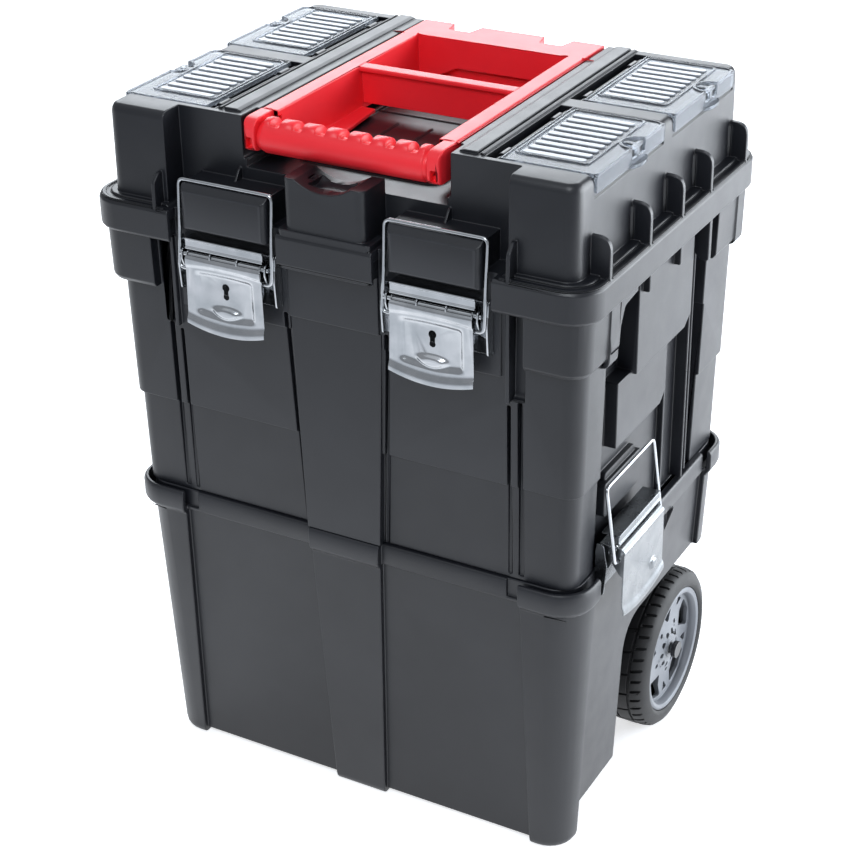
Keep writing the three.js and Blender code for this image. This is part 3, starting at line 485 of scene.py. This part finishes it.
def lidShell():
    s = lidSize
    top, ct, cb = s["top"], s["collarTop"], s["collarBottom"]
    collar = loft(450, 350, 27, [(cb, -2), (cb + 2.5, 0), (ct - 2.5, 0), (ct, -1.8)])
    tier = loft(432, 332, 20, [(ct - 2, 0), (ct + 1.4, 0), (ct + 2.2, -0.8)])
    collarHollow = loft(442, 342, 23, [(505, 0), (530.3, 0)])
    depth, midY = s["towerFront"] + s["rear"], (s["rear"] - s["towerFront"]) / 2
    turnedIn = [(ct - 5, 0.8), (top - 7, 0), (top - 4, -0.7), (top - 1.6, -2.2), (top - 0.4, -4),
                (top, -5.4)]
    tower = loft(2 * s["towerX"], depth, 11, turnedIn, midY)
    lid = weld(carve(collar, collarHollow), carve(tier, block(-far, far, -far, far, 0, ct - 1)), tower)
    recess = rounded(rectangle(-s["inner"], s["inner"], ct, 700), [5, 5, 0, 0])
    lid = carve(lid, prismY(recess, -far, -s["recess"]))
    latchX = (-latchPlace["frontAcross"], latchPlace["frontAcross"])
    lid = carve(lid, [block(x - 51, x + 51, -far, -latchPlace["frontWall"] - 0.3, 511, 600) for x in latchX])

    # catch blocks for the front latches, and the scooped block between them
    front, half = -s["catchFront"], s["catchHalf"]
    catchLine = rounded([(front, 525.5), (-138, 525.5), (-138, 563.5), (front + 6, 563.5), (front, 558)],
                        [3, 0, 0, 3, 3])
    catches = [common(prismX(catchLine, x - half, x + half),
                      prismZ(rounded(rectangle(x - half, x + half, front, -100), [6, 6, 0, 0]), 500, 600))
               for x in latchX]
    outline = rounded(rectangle(-s["middleHalf"], s["middleHalf"], front, -138), [7, 7, 0, 0])
    middle = prismZ(outline, ct - 1, s["middleTop"])
    lipCut = rod("y", 43, 44, (0, -160, 621), 64)
    bowl = [rod("x", 14, 34, (0, -154, 590), 40), rod("x", 9, 42, (0, -153, 590), 40)]
    middle = carve(middle, lipCut, bowl)
    step = prismZ(rounded(rectangle(-41, 41, -174, -150), [4, 4, 0, 0]), 511, ct + 5)
    web = [prismX(rounded([(-166, 540), (-138, 540), (-138, 574), (-142, 572)], [0, 0, 0, 3]), x, x + 2.5)
           for x in (-97, 91)]
    lid = weld(lid, catches, carve(step, collarHollow), web)

    # side fins with rounded tops, and the corner fins at the front
    fins = []
    for y in (-138, -64, 0, 60, 138):
        line = rounded(rectangle(195, s["finOut"], ct - 3, s["finTop"]), [0, 0, 12, 0], 8)
        fin = prismY(line, y, y + s["finThick"])
        root = prismZ(rounded([(203, y - 7), (210, y), (210, y + 2), (203, y + 2)], [0, 6, 0, 0]), ct - 1,
                      s["finTop"] - 3)
        if y == -138:  # hidden behind the corner on the left
            fins += [fin, moved(mirrored(fin), (0, 19, 0))]
        else:
            fins += both(fin, root)
    corner = rounded([(-174, ct - 2), (-150, ct - 2), (-150, 567), (-166, 567), (-173, 560)], [0, 0, 0, 4, 4])
    frontFins = both(prismX(corner, 156, 159.5))
    ledge = carve(loft(446, 346, 26, [(ct - 1, 0), (ct + 1.3, 0)]),
                  loft(440, 340, 24, [(ct - 3, 0), (ct + 3, 0)]))
    ledge = common(ledge, weld(both(block(150, far, -far, far, 500, 600))))  # not along the front
    lid = weld(lid, fins, frontFins, ledge)

    # seat for the carrying handle
    floor = s["floor"]
    lid = carve(lid, block(-89.5, 89.5, -far, far, floor, top + 1),
                prismY(rounded(rectangle(-92.5, 92.5, 580, 700), [4, 4, 0, 0]), -far, -117),
                block(-65, 65, 154, far, 511, top + 1),
                block(-198, 198, -135, 148, 505, s["deck"]),
                both(block(93.5, 114.5, -113, 144, s["deck"] - 1, top - 5)))
    tray = carve(prismZ(rounded(rectangle(-66, 66, -108, 60), 16), floor - 1, floor + 3),
                 prismZ(rounded(rectangle(-62, 62, -104, 56), 14), floor + 0.4, floor + 9))
    well = block(-62, 62, -40, 20, floor - 1, floor + 1.4)
    floorRibs = [block(x, x + 2, -103, 0, floor - 1, floor + 2.6) for x in (-32, 0, 32)]
    floorRibs += [block(-61, 61, y, y + 2, floor - 1, floor + 2.6) for y in (-70, 20)]
    lid = weld(lid, floorRibs, tray, well, middle)

    # wells for small parts under the organiser lids
    for a, b in organiserSpans.values():
        seat = prismZ(rectangle(129.7, far, a - 0.3, b + 0.3), top - 3.3, top + 3)
        outside = block(205.5, far, a - 0.3, b + 0.3, top - 18, top + 3)
        cells = [prismZ(rounded(rectangle(134, 200.5, y0, y1), 5), s["deck"] + 4, top + 3)
                 for y0, y1 in ((a + 4, (a + b) / 2 - 1.2), ((a + b) / 2 + 1.2, b - 4))]
        slot = block(118.5, 131, a - 0.3, b + 0.3, top - 14, top + 3)
        spot = (organiserPin["x"], (a + b) / 2, organiserPin["z"])
        pin = rod("y", organiserPin["radius"], b - a + 6, spot, 12)
        lid = carve(lid, both(seat, outside, *cells, slot, pin))

    rail = prismY(rounded([(97, 610), (118, 610), (118, 617.2), (114, 618.4), (101, 618.4), (97, 617.2)],
                          [0, 0, 1.5, 1, 1, 1.5], 3), -133, 149)
    railGroove = block(112.2, 114.6, -134, 150, 615.4, 620)
    lid = weld(lid, both(carve(rail, railGroove)))
    lid = carve(lid, rod("x", handlePivot["radius"], 206, (0, handlePivot["y"], handlePivot["z"]), 24))

    clear = both(block(109, 151, 170.5, 188, 511, 515.5))
    lid = carve(lid, clear)
    spot, half = (hinge["across"], hinge["y"], hinge["z"]), 9.7
    knuckle = weld(rod("x", hinge["barrel"], 2 * half, spot),
                   block(spot[0] - half, spot[0] + half, spot[1] - 4, spot[1] + 4.5, spot[2], 531),
                   block(spot[0] - half, spot[0] + half, spot[1] - 7, spot[1], spot[2] + 10, 531))
    return weld(lid, both(carve(knuckle, rod("x", hinge["bore"], 60, spot, 16))))


piece("lidShell", lidShell(), "lid", blackPlastic, ["lid_shell"], edge=0.9)
print("lid made")

clearSize = {"inner": 130, "outer": 208.5, "top": 615.6, "thick": 2.6, "flangeDrop": 14, "ribs": 9,
             "ribRise": 1.2, "holeRadius": 12, "barrel": 3.2, "barrelLong": 14}


def organiserLid(a, b):  # the clear lid over the span a to b, its ribs and its hinge barrels
    s = clearSize
    a, b = a + 1, b - 1
    top, inner, outer = s["top"], s["inner"], s["outer"]
    tabY, hole = (a + b) / 2 + 12, s["holeRadius"]
    outline = rounded(rectangle(inner, outer, a, b), [1, 4, 9, 1])
    within = rounded(rectangle(inner + 1.6, outer - 1.6, a + 1.6, b - 1.6), [1, 3, 8, 1])
    sheet = prismZ(outline, top - s["thick"], top)
    flangeLine = rounded(rectangle(a, b, top - s["flangeDrop"], top), [2, 3, 0, 0])
    flange = prismX(flangeLine, outer - 2.4, outer)
    frameOut = rounded(rectangle(inner + 3, outer - 14, a + 16, b - 3), 5)
    frameIn = rounded(rectangle(inner + 5, outer - 16, a + 18, b - 5), 4)
    border = carve(prismZ(frameOut, top - 1, top + 1.1), prismZ(frameIn, top - 3, top + 3))
    sides = carve(prismZ(outline, top - 1, top + 0.9), prismZ(within, 600, 620))
    ears = carve(rod("z", hole + 2.4, 4.4, (outer - 1, tabY, top - 1.1), 40),
                 block(outer, far, -far, far, 0, 700))
    cutOut = carve(weld(rod("z", hole, 40, (outer - 1, tabY, top), 40),
                        block(outer - 4, far, tabY - hole, tabY + hole, top - 9, top + 9)),
                   block(0, far, -far, far, 0, top - 9))
    lid = carve(weld(sheet, flange, border, sides, ears), cutOut)
    tongue = weld(block(outer - 14, outer, tabY - 2.6, tabY + 2.6, top - 2.8, top),
                  block(outer - 3.4, outer, tabY - 7.5, tabY + 7.5, top - 2.8, top),
                  block(outer - 2.4, outer, tabY - 2.8, tabY + 2.8, top - 15, top))
    crescent = [(outer - 2 + 7 * math.cos(t), tabY + 15 * math.sin(t))
                for t in (math.radians(v) for v in range(-90, 91, 15))]
    tabLine = [(outer - 2.4, tabY + 15)] + crescent[::-1] + [(outer - 2.4, tabY - 15)]
    lid = weld(lid, tongue, prismZ(tabLine, top - 15.5, top - 12.5))
    ribs, pitch = [], (b - a - 38) / (s["ribs"] - 1)
    for i in range(s["ribs"]):
        y = a + 22 + i * pitch
        bar = rounded(rectangle(inner + 8, outer - 19, y - pitch * 0.3, y + pitch * 0.3), pitch * 0.29)
        ribs.append(prismZ(bar, top - 0.2, top + s["ribRise"]))
    barrels, x, z, long = [], organiserPin["x"], organiserPin["z"], s["barrelLong"]
    for y in (a + 12, b - 26):
        barrels += [rod("y", s["barrel"], long, (x, y + long / 2, z), 24),
                    block(x, inner + 3, y, y + long, z - 1.6, z + 0.4)]
    pin = rod("y", organiserPin["radius"], b - a + 20, (x, (a + b) / 2, z), 12)
    return lid, weld(ribs), carve(weld(barrels), pin)


for row, (a, b) in organiserSpans.items():
    sheetSolid, ribSolid, barrelSolid = organiserLid(a, b)
    for side in ("left", "right"):
        turn = mirrored if side == "left" else moved
        body = f"organiser_{row}_{side}"
        piece(f"clearLid_{row}_{side}", turn(sheetSolid), body, clearPlastic,
              [f"organiser_lid_{row}_{side}"], edge=0.35)
        piece(f"clearRibs_{row}_{side}", turn(ribSolid), body, frostedRib, edge=0.5)
        piece(f"lidBarrels_{row}_{side}", turn(barrelSolid), body, softBlack, edge=0.4)
print("organiser lids made")

handleSize = {"half": 87, "inner": 71.5, "top": 617, "floor": 579, "rear": (108, 150), "cross": 13.5,
              "capInner": 76.2, "gripY": -133, "gripZ": 601, "gripR": 13.3, "gripHalf": 75.2, "socket": 8,
              "seam": 1.6, "notches": 7, "notchPitch": 20.4, "notchHalf": 4.8, "notchSink": 4.2,
              "lobeRise": 2.1}


def handleFrame():
    s = handleSize
    top, inner, half, front, low = s["top"], s["inner"], s["half"], s["gripY"], s["floor"]
    rearIn, rearOut = s["rear"]
    railTop = rounded(rectangle(inner, half, top - 5, top), [0, 0, 3, 1.5])
    railWeb = [(inner, top - 2), (inner + 3.2, top - 2), (inner + 1.6, low), (inner - 1.2, low)]
    rails = both(prismY(railTop, front + 15, rearOut), prismY(railWeb, front + 19, 110),
                 block(half - 3, half, front + 15, rearOut - 2, 598, top - 2),
                 block(inner, half, 126, rearOut - 2, 595, top - 1))
    mid = s["cross"]
    crossTop = rounded(rectangle(mid - 6.5, mid + 6.5, top - 4.5, top - 0.5), [0, 0, 2.4, 2.4])
    crossWeb = [(mid - 3, top - 3), (mid + 3, top - 3), (mid + 1.2, low + 5), (mid - 1.8, low + 5)]
    cross = [prismX(line, -inner - 1, inner + 1) for line in (crossTop, crossWeb)]
    rearWeb = [(rearIn, top - 3), (rearIn + 3.5, top - 3), (rearIn + 2, low), (rearIn - 1, low)]
    rear = [block(-half, half, rearIn, rearOut, top - 5, top), prismX(rearWeb, -inner - 1, inner + 1),
            block(-half, half, rearOut - 4, rearOut, low, top - 2)]
    tabs = both(prismZ([(30, 152), (34, 132.5), (54, 132.5), (58, 152)], 610, top + 1))
    rearSlot = prismY(rounded([(-52, 582), (38, 582), (38, 591), (-34, 591)], [1, 2, 2, 3]), 100, 113)
    lowBar = prismX(rounded(rectangle(113.5, 125, low, low + 9.8), 3), -56, 44)
    sideStrip = prismZ([(-inner - 1, -70), (-50, -70), (-58, 9), (-inner - 1, 10)], low - 0.8, low + 2.5)
    capSide = rounded([(front - 13.6, 590), (front + 12, 590), (front + 16, top), (front - 13.6, top)],
                      [8, 3, 2, 11], 7)
    capPlan = rounded(rectangle(70, half, front - 13.6, front + 30), [0, 5, 0, 0])
    caps = both(common(prismX(capSide, s["capInner"], half), prismZ(capPlan, 580, 620)))
    squareHoles = both(block(79, 84.5, front - 20, front - 7, 593, 602))
    socket = rod("x", s["socket"] + 0.3, 160, (0, front, s["gripZ"]), 32)
    pins = rod("x", handlePivot["radius"], 300, (0, handlePivot["y"], handlePivot["z"]), 24)
    frameSolid = carve(weld(rails, cross, rear, caps), tabs, rearSlot, squareHoles, socket, pins)
    return weld(frameSolid, lowBar, sideStrip)


def handleGrip():  # one skin, with finger notches sunk into the top of the back
    s = handleSize
    rings, sides, reach, step = [], 72, s["gripHalf"], 0.8
    centres = [(i - (s["notches"] - 1) / 2) * s["notchPitch"] for i in range(s["notches"])]
    stations = sorted({round(-reach + step * i, 2) for i in range(int(2 * reach / step) + 1)}
                      | {-reach, reach, -79, 79, -reach - 0.01, reach + 0.01})
    for x in stations:
        ring = []
        sunk = max(near(x, c - s["notchHalf"], c + s["notchHalf"], 1.4) for c in centres)
        lobed = near(x, -72.2, 72.2, 1.2)
        for k in range(sides):
            angle = 2 * math.pi * k / sides  # 0 points to the front, a quarter turn points up
            behind = near(math.degrees(angle), 54, 196, 16)
            r = s["gripR"] - s["seam"] + s["seam"] * lobed
            r += behind * lobed * (s["lobeRise"] * (1 - sunk) - s["notchSink"] * sunk)
            r -= 0.9 * near(math.degrees(angle), 300, 312, 5) * lobed  # the parting line underneath
            if abs(x) > reach:
                r = s["socket"]
            ring.append((x, s["gripY"] - r * math.cos(angle), s["gripZ"] + r * math.sin(angle)))
        rings.append(ring)
    return stacked(rings)


piece("redFrame", handleFrame(), "carry_handle", redPlastic, ["handle_frame"], edge=0.9)
piece("redGrip", handleGrip(), "carry_handle", redPlastic, ["handle_grip"], edge=0)
print("carrying handle made")

# both latches are drawn for a wall that faces -Y at y = 0, with the pin at z = 0
latchPin, latchWire = 2.3, 1.6  # the pin's bore and the bail's wire, as radii
frontLatch = {"half": 37, "top": 3.2, "drop": 59, "tip": 6, "pinOut": 9, "faceOut": 12, "hook": (8.5, 13),
              "bailHalf": 43.6, "bailTop": 60.6, "bailOut": 2.2, "baseHalf": 46.2, "baseTop": 12,
              "baseDrop": 35, "baseAt": 2.6, "strip": (4.4, 14), "stripBack": 1.5, "keyhole": True}
sideLatch = {"half": 42, "top": 2, "drop": 60, "tip": 6, "pinOut": 12, "faceOut": 21.5, "hook": (16, 10),
             "bailHalf": 47, "bailTop": 58, "bailOut": 6.5, "baseHalf": 51, "baseTop": 8, "baseDrop": 41,
             "baseAt": -0.3, "strip": (4.4, 14), "stripBack": 4, "keyhole": False}


def leverFace(s):  # a pressed plate; u runs across it and v runs down it
    across, down, high, thick = 60, 70, s["top"], 1.2
    front, back = [], []
    for j in range(down + 1):
        v = j / down
        for i in range(across + 1):
            u = 2 * i / across - 1
            low = -s["drop"] - s["tip"] * (1 - u * u)
            z = high + (low - high) * v
            x = u * (s["half"] - 1.5 * (1 - v))
            depth = s["faceOut"]
            depth -= 3.6 * max(0.0, 1 - (high - z) / 6) ** 2  # rolled over the pin
            depth += 1.9 * near(v, 0.84, 1.6, 0.12)  # flared lip
            if s["keyhole"]:  # a sunk panel with a raised oval under the keyhole
                arch = 0.20 + 0.05 * u * u
                depth += 1.3 * near(v, 0.05, arch - 0.03, 0.04)
                depth -= 2.6 * near(v, arch, 0.82, 0.08) * near(u, -0.80, 0.80, 0.16)
                oval = ((u / 0.44) ** 2 + ((v - 0.71) / 0.085) ** 2) ** 0.5
                depth += 3.2 * near(1 - oval, 0, 9, 0.55)
            else:  # a plain plate with a round stud
                depth += 1.0 * near(v, 0.02, 0.10, 0.03)
                stud = ((x - 20) ** 2 + (z + 43) ** 2) ** 0.5
                depth += 2.6 * near(6.5 - stud, 0, 99, 2.5)
            front.append((x, -depth, z))
            back.append((x, -depth + thick, z))
    count, faces = len(front), []
    row = across + 1
    for j in range(down):
        for i in range(across):
            a = j * row + i
            faces.append((a, a + 1, a + row + 1, a + row))
            faces.append((count + a, count + a + row, count + a + row + 1, count + a + 1))
    edge = list(range(row)) + [j * row + across for j in range(1, down + 1)]
    edge += [down * row + i for i in range(across - 1, -1, -1)] + [j * row for j in range(down - 1, 0, -1)]
    for k, a in enumerate(edge):
        b = edge[(k + 1) % len(edge)]
        faces.append((b, a, count + a, count + b))
    return solidFrom(front + back, faces)


def latchLever(s):
    out, pin = s["faceOut"], s["pinOut"]
    flange = rounded([(-out + 0.5, s["top"] - 3), (-out + 0.5, -26), (-out + 4, -24), (-pin + 3, -12),
                      (-pin + 3, 3), (-pin - 1, 3.4)], [1, 3, 4, 3, 2, 2])
    flanges = both(prismX(flange, s["half"] - 3, s["half"] - 1.8))
    hookOut, hookDrop = s["hook"]
    tools = [rod("x", latchPin, 300, (0, -pin, 0), 16),
             rod("x", latchWire + 0.3, 300, (0, -hookOut, -hookDrop), 16)]
    if s["keyhole"]:
        tools.append(weld(rod("y", 3.3, 60, (0, -20, -23), 24), rod("y", 2.6, 60, (0, -20, -31), 20),
                          block(-2.1, 2.1, -50, 10, -31, -23)))
    return carve(weld(leverFace(s), flanges), tools)


def latchBase(s):
    at, pin, half, drop = s["baseAt"], s["pinOut"], s["baseHalf"], s["baseDrop"]
    back = prismY(rounded(rectangle(-half, half, -drop, s["baseTop"] - 4), 4), at - 1.5, at)
    outer = rounded([(at - 1, -drop), (-pin * 0.7, -drop + 2), (-pin * 0.9, -drop * 0.3),
                     (-pin * 0.6, s["baseTop"]), (at - 1, s["baseTop"])], [0, 3, 5, 4, 0])
    ear = rounded([(at - 1, -22), (-pin + 2, -16), (-pin - 3, -4), (-pin - 2.6, 3.4), (-pin + 3, 5),
                   (at - 1, 6)], [0, 5, 4, 3, 3, 0])
    ears = both(prismX(outer, half - 1.5, half), prismX(ear, s["half"] + 1.6, s["half"] + 3),
                prismX(ear, 12, 13.4))
    low, high = s["strip"]
    face = -s["faceOut"] + s["stripBack"]
    line = [(face + 1.4, low), (face, low + 0.4), (face, low + 1.6), (face + 1, low + 2.4),
            (face + 1, high - 2.2), (face + 0.2, high - 1.4), (face + 0.2, high - 0.4), (face + 0.8, high),
            (at - 1, high), (at - 1, high - 1.4), (face + 2.4, high - 1.4), (face + 2.4, low)]
    strip = prismX(line, -s["half"] + 0.5, s["half"] - 0.5)
    return carve(weld(back, ears, strip), rod("x", latchPin, 300, (0, -pin, 0), 16))


def latchBail(s):
    hook = (-s["hook"][0], -s["hook"][1])
    side, inside, top = s["bailHalf"], s["half"] - 4, (-s["bailOut"], s["bailTop"])
    points = [(-inside, *hook), (-side, *hook), (-side, *top), (side, *top), (side, *hook), (inside, *hook)]
    return wire(points, latchWire, 5)


for side, sign in (("left", -1), ("right", 1)):
    frontSpot = (sign * latchPlace["frontAcross"], -latchPlace["frontWall"], latchPlace["frontPinZ"])
    sideSpot = (sign * latchPlace["sideWall"], latchPlace["sideAt"], latchPlace["sidePinZ"])
    for kind, s, spot, turn, holder, plate in (
            ("front", frontLatch, frontSpot, 0, "upper_box", zincSteel),
            # the side levers and bases take the darkened zinc copy, which is painted shade
            ("side", sideLatch, sideSpot, sign * math.pi / 2, "bin", zincDarkenedForShade)):
        node = f"{kind}_latch_{side}"
        piece(f"{kind}Lever_{side}", moved(latchLever(s), spot, turn), f"{kind}_lever_{side}", plate,
              [f"{node}_lever"], edge=0.25, segments=1, angle=50)
        piece(f"{kind}Base_{side}", moved(latchBase(s), spot, turn), holder, plate,
              [f"{node}_base"], edge=0.3)
        piece(f"{kind}Bail_{side}", moved(latchBail(s), spot, turn), f"{kind}_bail_{side}", zincSteel,
              [f"{node}_bail"], edge=0)
print("latches made")

wheelSize = {"radius": 76, "half": 23, "rim": 59, "middle": 184.5, "spokes": 5, "lugs": 44, "holeRing": 16.5,
             "hole": 2.6}


def tyre():
    s = wheelSize
    r, h = s["radius"], s["half"]
    wall = [(s["rim"] + 0.4, h - 2), (s["rim"] + 3, h), (r - 12, h), (r - 5, h - 2.5), (r - 1.5, h - 6),
            (r - 0.3, h - 11)]
    profile = [(radius, -x) for radius, x in wall] + [(r, 0)] + wall[::-1]
    body = turnedX(profile, 96)
    grooves = [turnedX([(r - 2.4, x - 1.1), (r + 2, x - 1.1), (r + 2, x + 1.1), (r - 2.4, x + 1.1)], 96)
               for x in (-7, 7)]
    lugs = []  # slanted cuts through each shoulder, and short ones between the grooves
    for i in range(s["lugs"]):
        for sgn in (-1, 1):
            slot = prismZ([(sgn * 9, -1.2), (sgn * 26, 2.6), (sgn * 26, 5.2), (sgn * 9, 1.4)], r - 3.2, r + 6)
            lugs.append(moved(slot, turn=2 * math.pi * (i + (0.5 if sgn > 0 else 0)) / s["lugs"], axis="X"))
        if i % 2 == 0:
            slot = prismZ([(-6, -1.8), (6, 0.8), (6, 2.6), (-6, 0)], r - 1.8, r + 6)
            lugs.append(moved(slot, turn=2 * math.pi * i / s["lugs"], axis="X"))
    return carve(body, grooves, lugs)


def wheelRim():
    s, bore = wheelSize, binSize["axleBore"]
    h, r = s["half"], s["rim"]
    barrel = turnedX([(r, -h + 2.4), (r, h - 2.4), (r - 2, h - 1.4), (r - 5, h - 2.4), (r - 7, h - 6),
                      (r - 7, -h + 6), (r - 5, -h + 2.4), (r - 2, -h + 1.4)], 96)
    face = turnedX([(bore, 3), (bore, 15), (9, 16.5), (16, 16.5), (22, 14.5), (38, 12), (r - 5, 14),
                    (r - 3, 11), (38, 6), (20, 7.5), (14, 3)], 96)
    back = turnedX([(bore, -19), (14, -19), (14, 6), (bore, 6)], 48)
    windows = []
    for i in range(s["spokes"]):
        t = 2 * math.pi * i / s["spokes"] + math.pi / 2

        def spot(radius, angle):
            return radius * math.cos(t + angle), radius * math.sin(t + angle)

        window = [spot(27, 0), spot(r - 9.5, 0.40), spot(r - 8, 0.0), spot(r - 9.5, -0.40)]
        windows.append(prismX(rounded(window, [2.5, 3, 0, 3]), -5, 40))
        for aside in (0.31, -0.31):
            windows.append(rod("x", s["hole"], 60, (14, *spot(s["holeRing"], aside)), 20))
        between = math.pi / s["spokes"]
        windows.append(rod("x", 2.1, 60, (14, *spot(25, between)), 16))
        small = [spot(r - 20, between), spot(r - 11, between + 0.10), spot(r - 11, between - 0.10)]
        windows.append(prismX(rounded(small, 1.2), -5, 40))
    hub = turnedX([(bore, 15), (bore, 17.4), (9, 17.4), (9, 15)], 40)
    return weld(carve(face, windows), barrel, back, hub)


tyreSolid, rimSolid = tyre(), wheelRim()
for side, sign in (("left", -1), ("right", 1)):
    place = (sign * wheelSize["middle"], binSize["axleY"], binSize["axleZ"])
    turn = 0 if sign > 0 else math.pi
    piece(f"tyre_{side}Tread", moved(tyreSolid, place, turn), f"wheel_{side}", tyreRubber,
          [f"tyre_{side}"], edge=0.5, angle=40)
    piece(f"rim_{side}Spoked", moved(rimSolid, place, turn), f"wheel_{side}", silverRim,
          [f"wheel_rim_{side}"], edge=0.5)
print("wheels made")

# pieces carried over from the CAD get their finish, and soft edges where they are moulded
keptLooks = {"pull_grip": softBlack, "axle_cap": softBlack, "organiser_pin": softBlack,
             "tube_clamp": blackPlastic, "release_button": redPlastic, "outer_tube": tubeSteel,
             "middle_tube": tubeSteel, "inner_tube": tubeSteel}
for name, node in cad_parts.items():
    if node.hide_render:
        continue
    material = next((look for start, look in keptLooks.items() if name.startswith(start)), zincSteel)
    for slotIndex in range(len(node.material_slots)):
        node.material_slots[slotIndex].material = material
    if not node.material_slots:
        node.data.materials.append(material)
    if name in ("pull_grip", "release_button") or name.startswith("tube_clamp"):
        soften(node, 1.0, 3, 40)
print("kept pieces finished")

studio = {"floor": (0.84, 0.85, 0.87), "floorHalf": 9, "glow": 0.62, "sky": 0.42,
          "skyColour": (0.90, 0.94, 1, 1), "lightColour": (0.90, 0.95, 1),
          "side": 110, "back": 115, "over": 4, "front": 34}  # the last four are lamp powers in watts
floorMesh = bpy.data.meshes.new("studioFloor")
reach = studio["floorHalf"]
floorMesh.from_pydata([(x, y, 0) for x, y in rectangle(-reach, reach, -reach, reach)], [], [(0, 1, 2, 3)])
floor = bpy.data.objects.new("studioFloor", floorMesh)
scene.collection.objects.link(floor)
paleFloor = finish("paleFloor", studio["floor"], [c * 1.02 for c in studio["floor"]], (0.6, 0.7),
                   grain=60, depth=0.01, spread=2)
floorMesh.materials.append(paleFloor)

# the floor glows a little, and less in front of the box, as a lit sweep does
tree = paleFloor.node_tree
spot, split, fade = (tree.nodes.new(f"ShaderNode{kind}") for kind in ("TexCoord", "SeparateXYZ", "MapRange"))
fade.inputs["From Min"].default_value, fade.inputs["From Max"].default_value = -1.15, -0.4
fade.inputs["To Max"].default_value = studio["glow"]
tree.links.new(spot.outputs["Object"], split.inputs["Vector"])
tree.links.new(split.outputs["Y"], fade.inputs["Value"])
floorShader = tree.nodes["Principled BSDF"]
floorShader.inputs["Emission Color"].default_value = (1, 1, 1, 1)
tree.links.new(fade.outputs["Result"], floorShader.inputs["Emission Strength"])

world = bpy.data.worlds.new("softSky")
scene.world = world
world.use_nodes = True
sky = world.node_tree.nodes["Background"]
sky.inputs["Color"].default_value = studio["skyColour"]
sky.inputs["Strength"].default_value = studio["sky"]


def softLight(name, spot, target, width, height, power):
    data = bpy.data.lights.new(name, "AREA")
    data.shape, data.size, data.size_y, data.energy = "RECTANGLE", width, height, power
    data.color = studio["lightColour"]
    light = bpy.data.objects.new(name, data)
    light.location = spot
    light.rotation_mode = "QUATERNION"
    light.rotation_quaternion = (Vector(target) - Vector(spot)).to_track_quat("-Z", "Y")
    scene.collection.objects.link(light)


softLight("sidePanel", (1.9, 1.3, 0.55), (0, 0, 0.3), 2.4, 1.8, studio["side"])
softLight("backPanel", (-1.4, 2.7, 2.1), (0, 0, 0.5), 3.4, 2.2, studio["back"])
softLight("overhead", (-0.4, -0.5, 2.4), (0, 0, 0.4), 2.0, 2.0, studio["over"])
softLight("frontHigh", (0.5, -2.0, 2.5), (0, 0, 0.6), 1.2, 1.2, studio["front"])

cameraSize = {"azimuth": 29.218, "elevation": 28.102, "roll": -0.844,
              "spot": (0.75008, -1.35575, 1.12524), "lens": 83.293}
azimuth, elevation, roll = (math.radians(cameraSize[k]) for k in ("azimuth", "elevation", "roll"))
back = Vector((math.sin(azimuth) * math.cos(elevation), -math.cos(azimuth) * math.cos(elevation),
               math.sin(elevation)))
right = Vector((0, 0, 1)).cross(back).normalized()
up = back.cross(right)
right, up = (right * math.cos(roll) + up * math.sin(roll), up * math.cos(roll) - right * math.sin(roll))
cameraData = bpy.data.cameras.new("camera")
cameraData.lens, cameraData.sensor_width = cameraSize["lens"], 36
camera = bpy.data.objects.new("camera", cameraData)
camera.matrix_world = Matrix.Translation(cameraSize["spot"]) @ Matrix((right, up, back)).transposed().to_4x4()
scene.collection.objects.link(camera)
scene.camera = camera
scene.view_settings.view_transform = "Standard"
print("studio made")
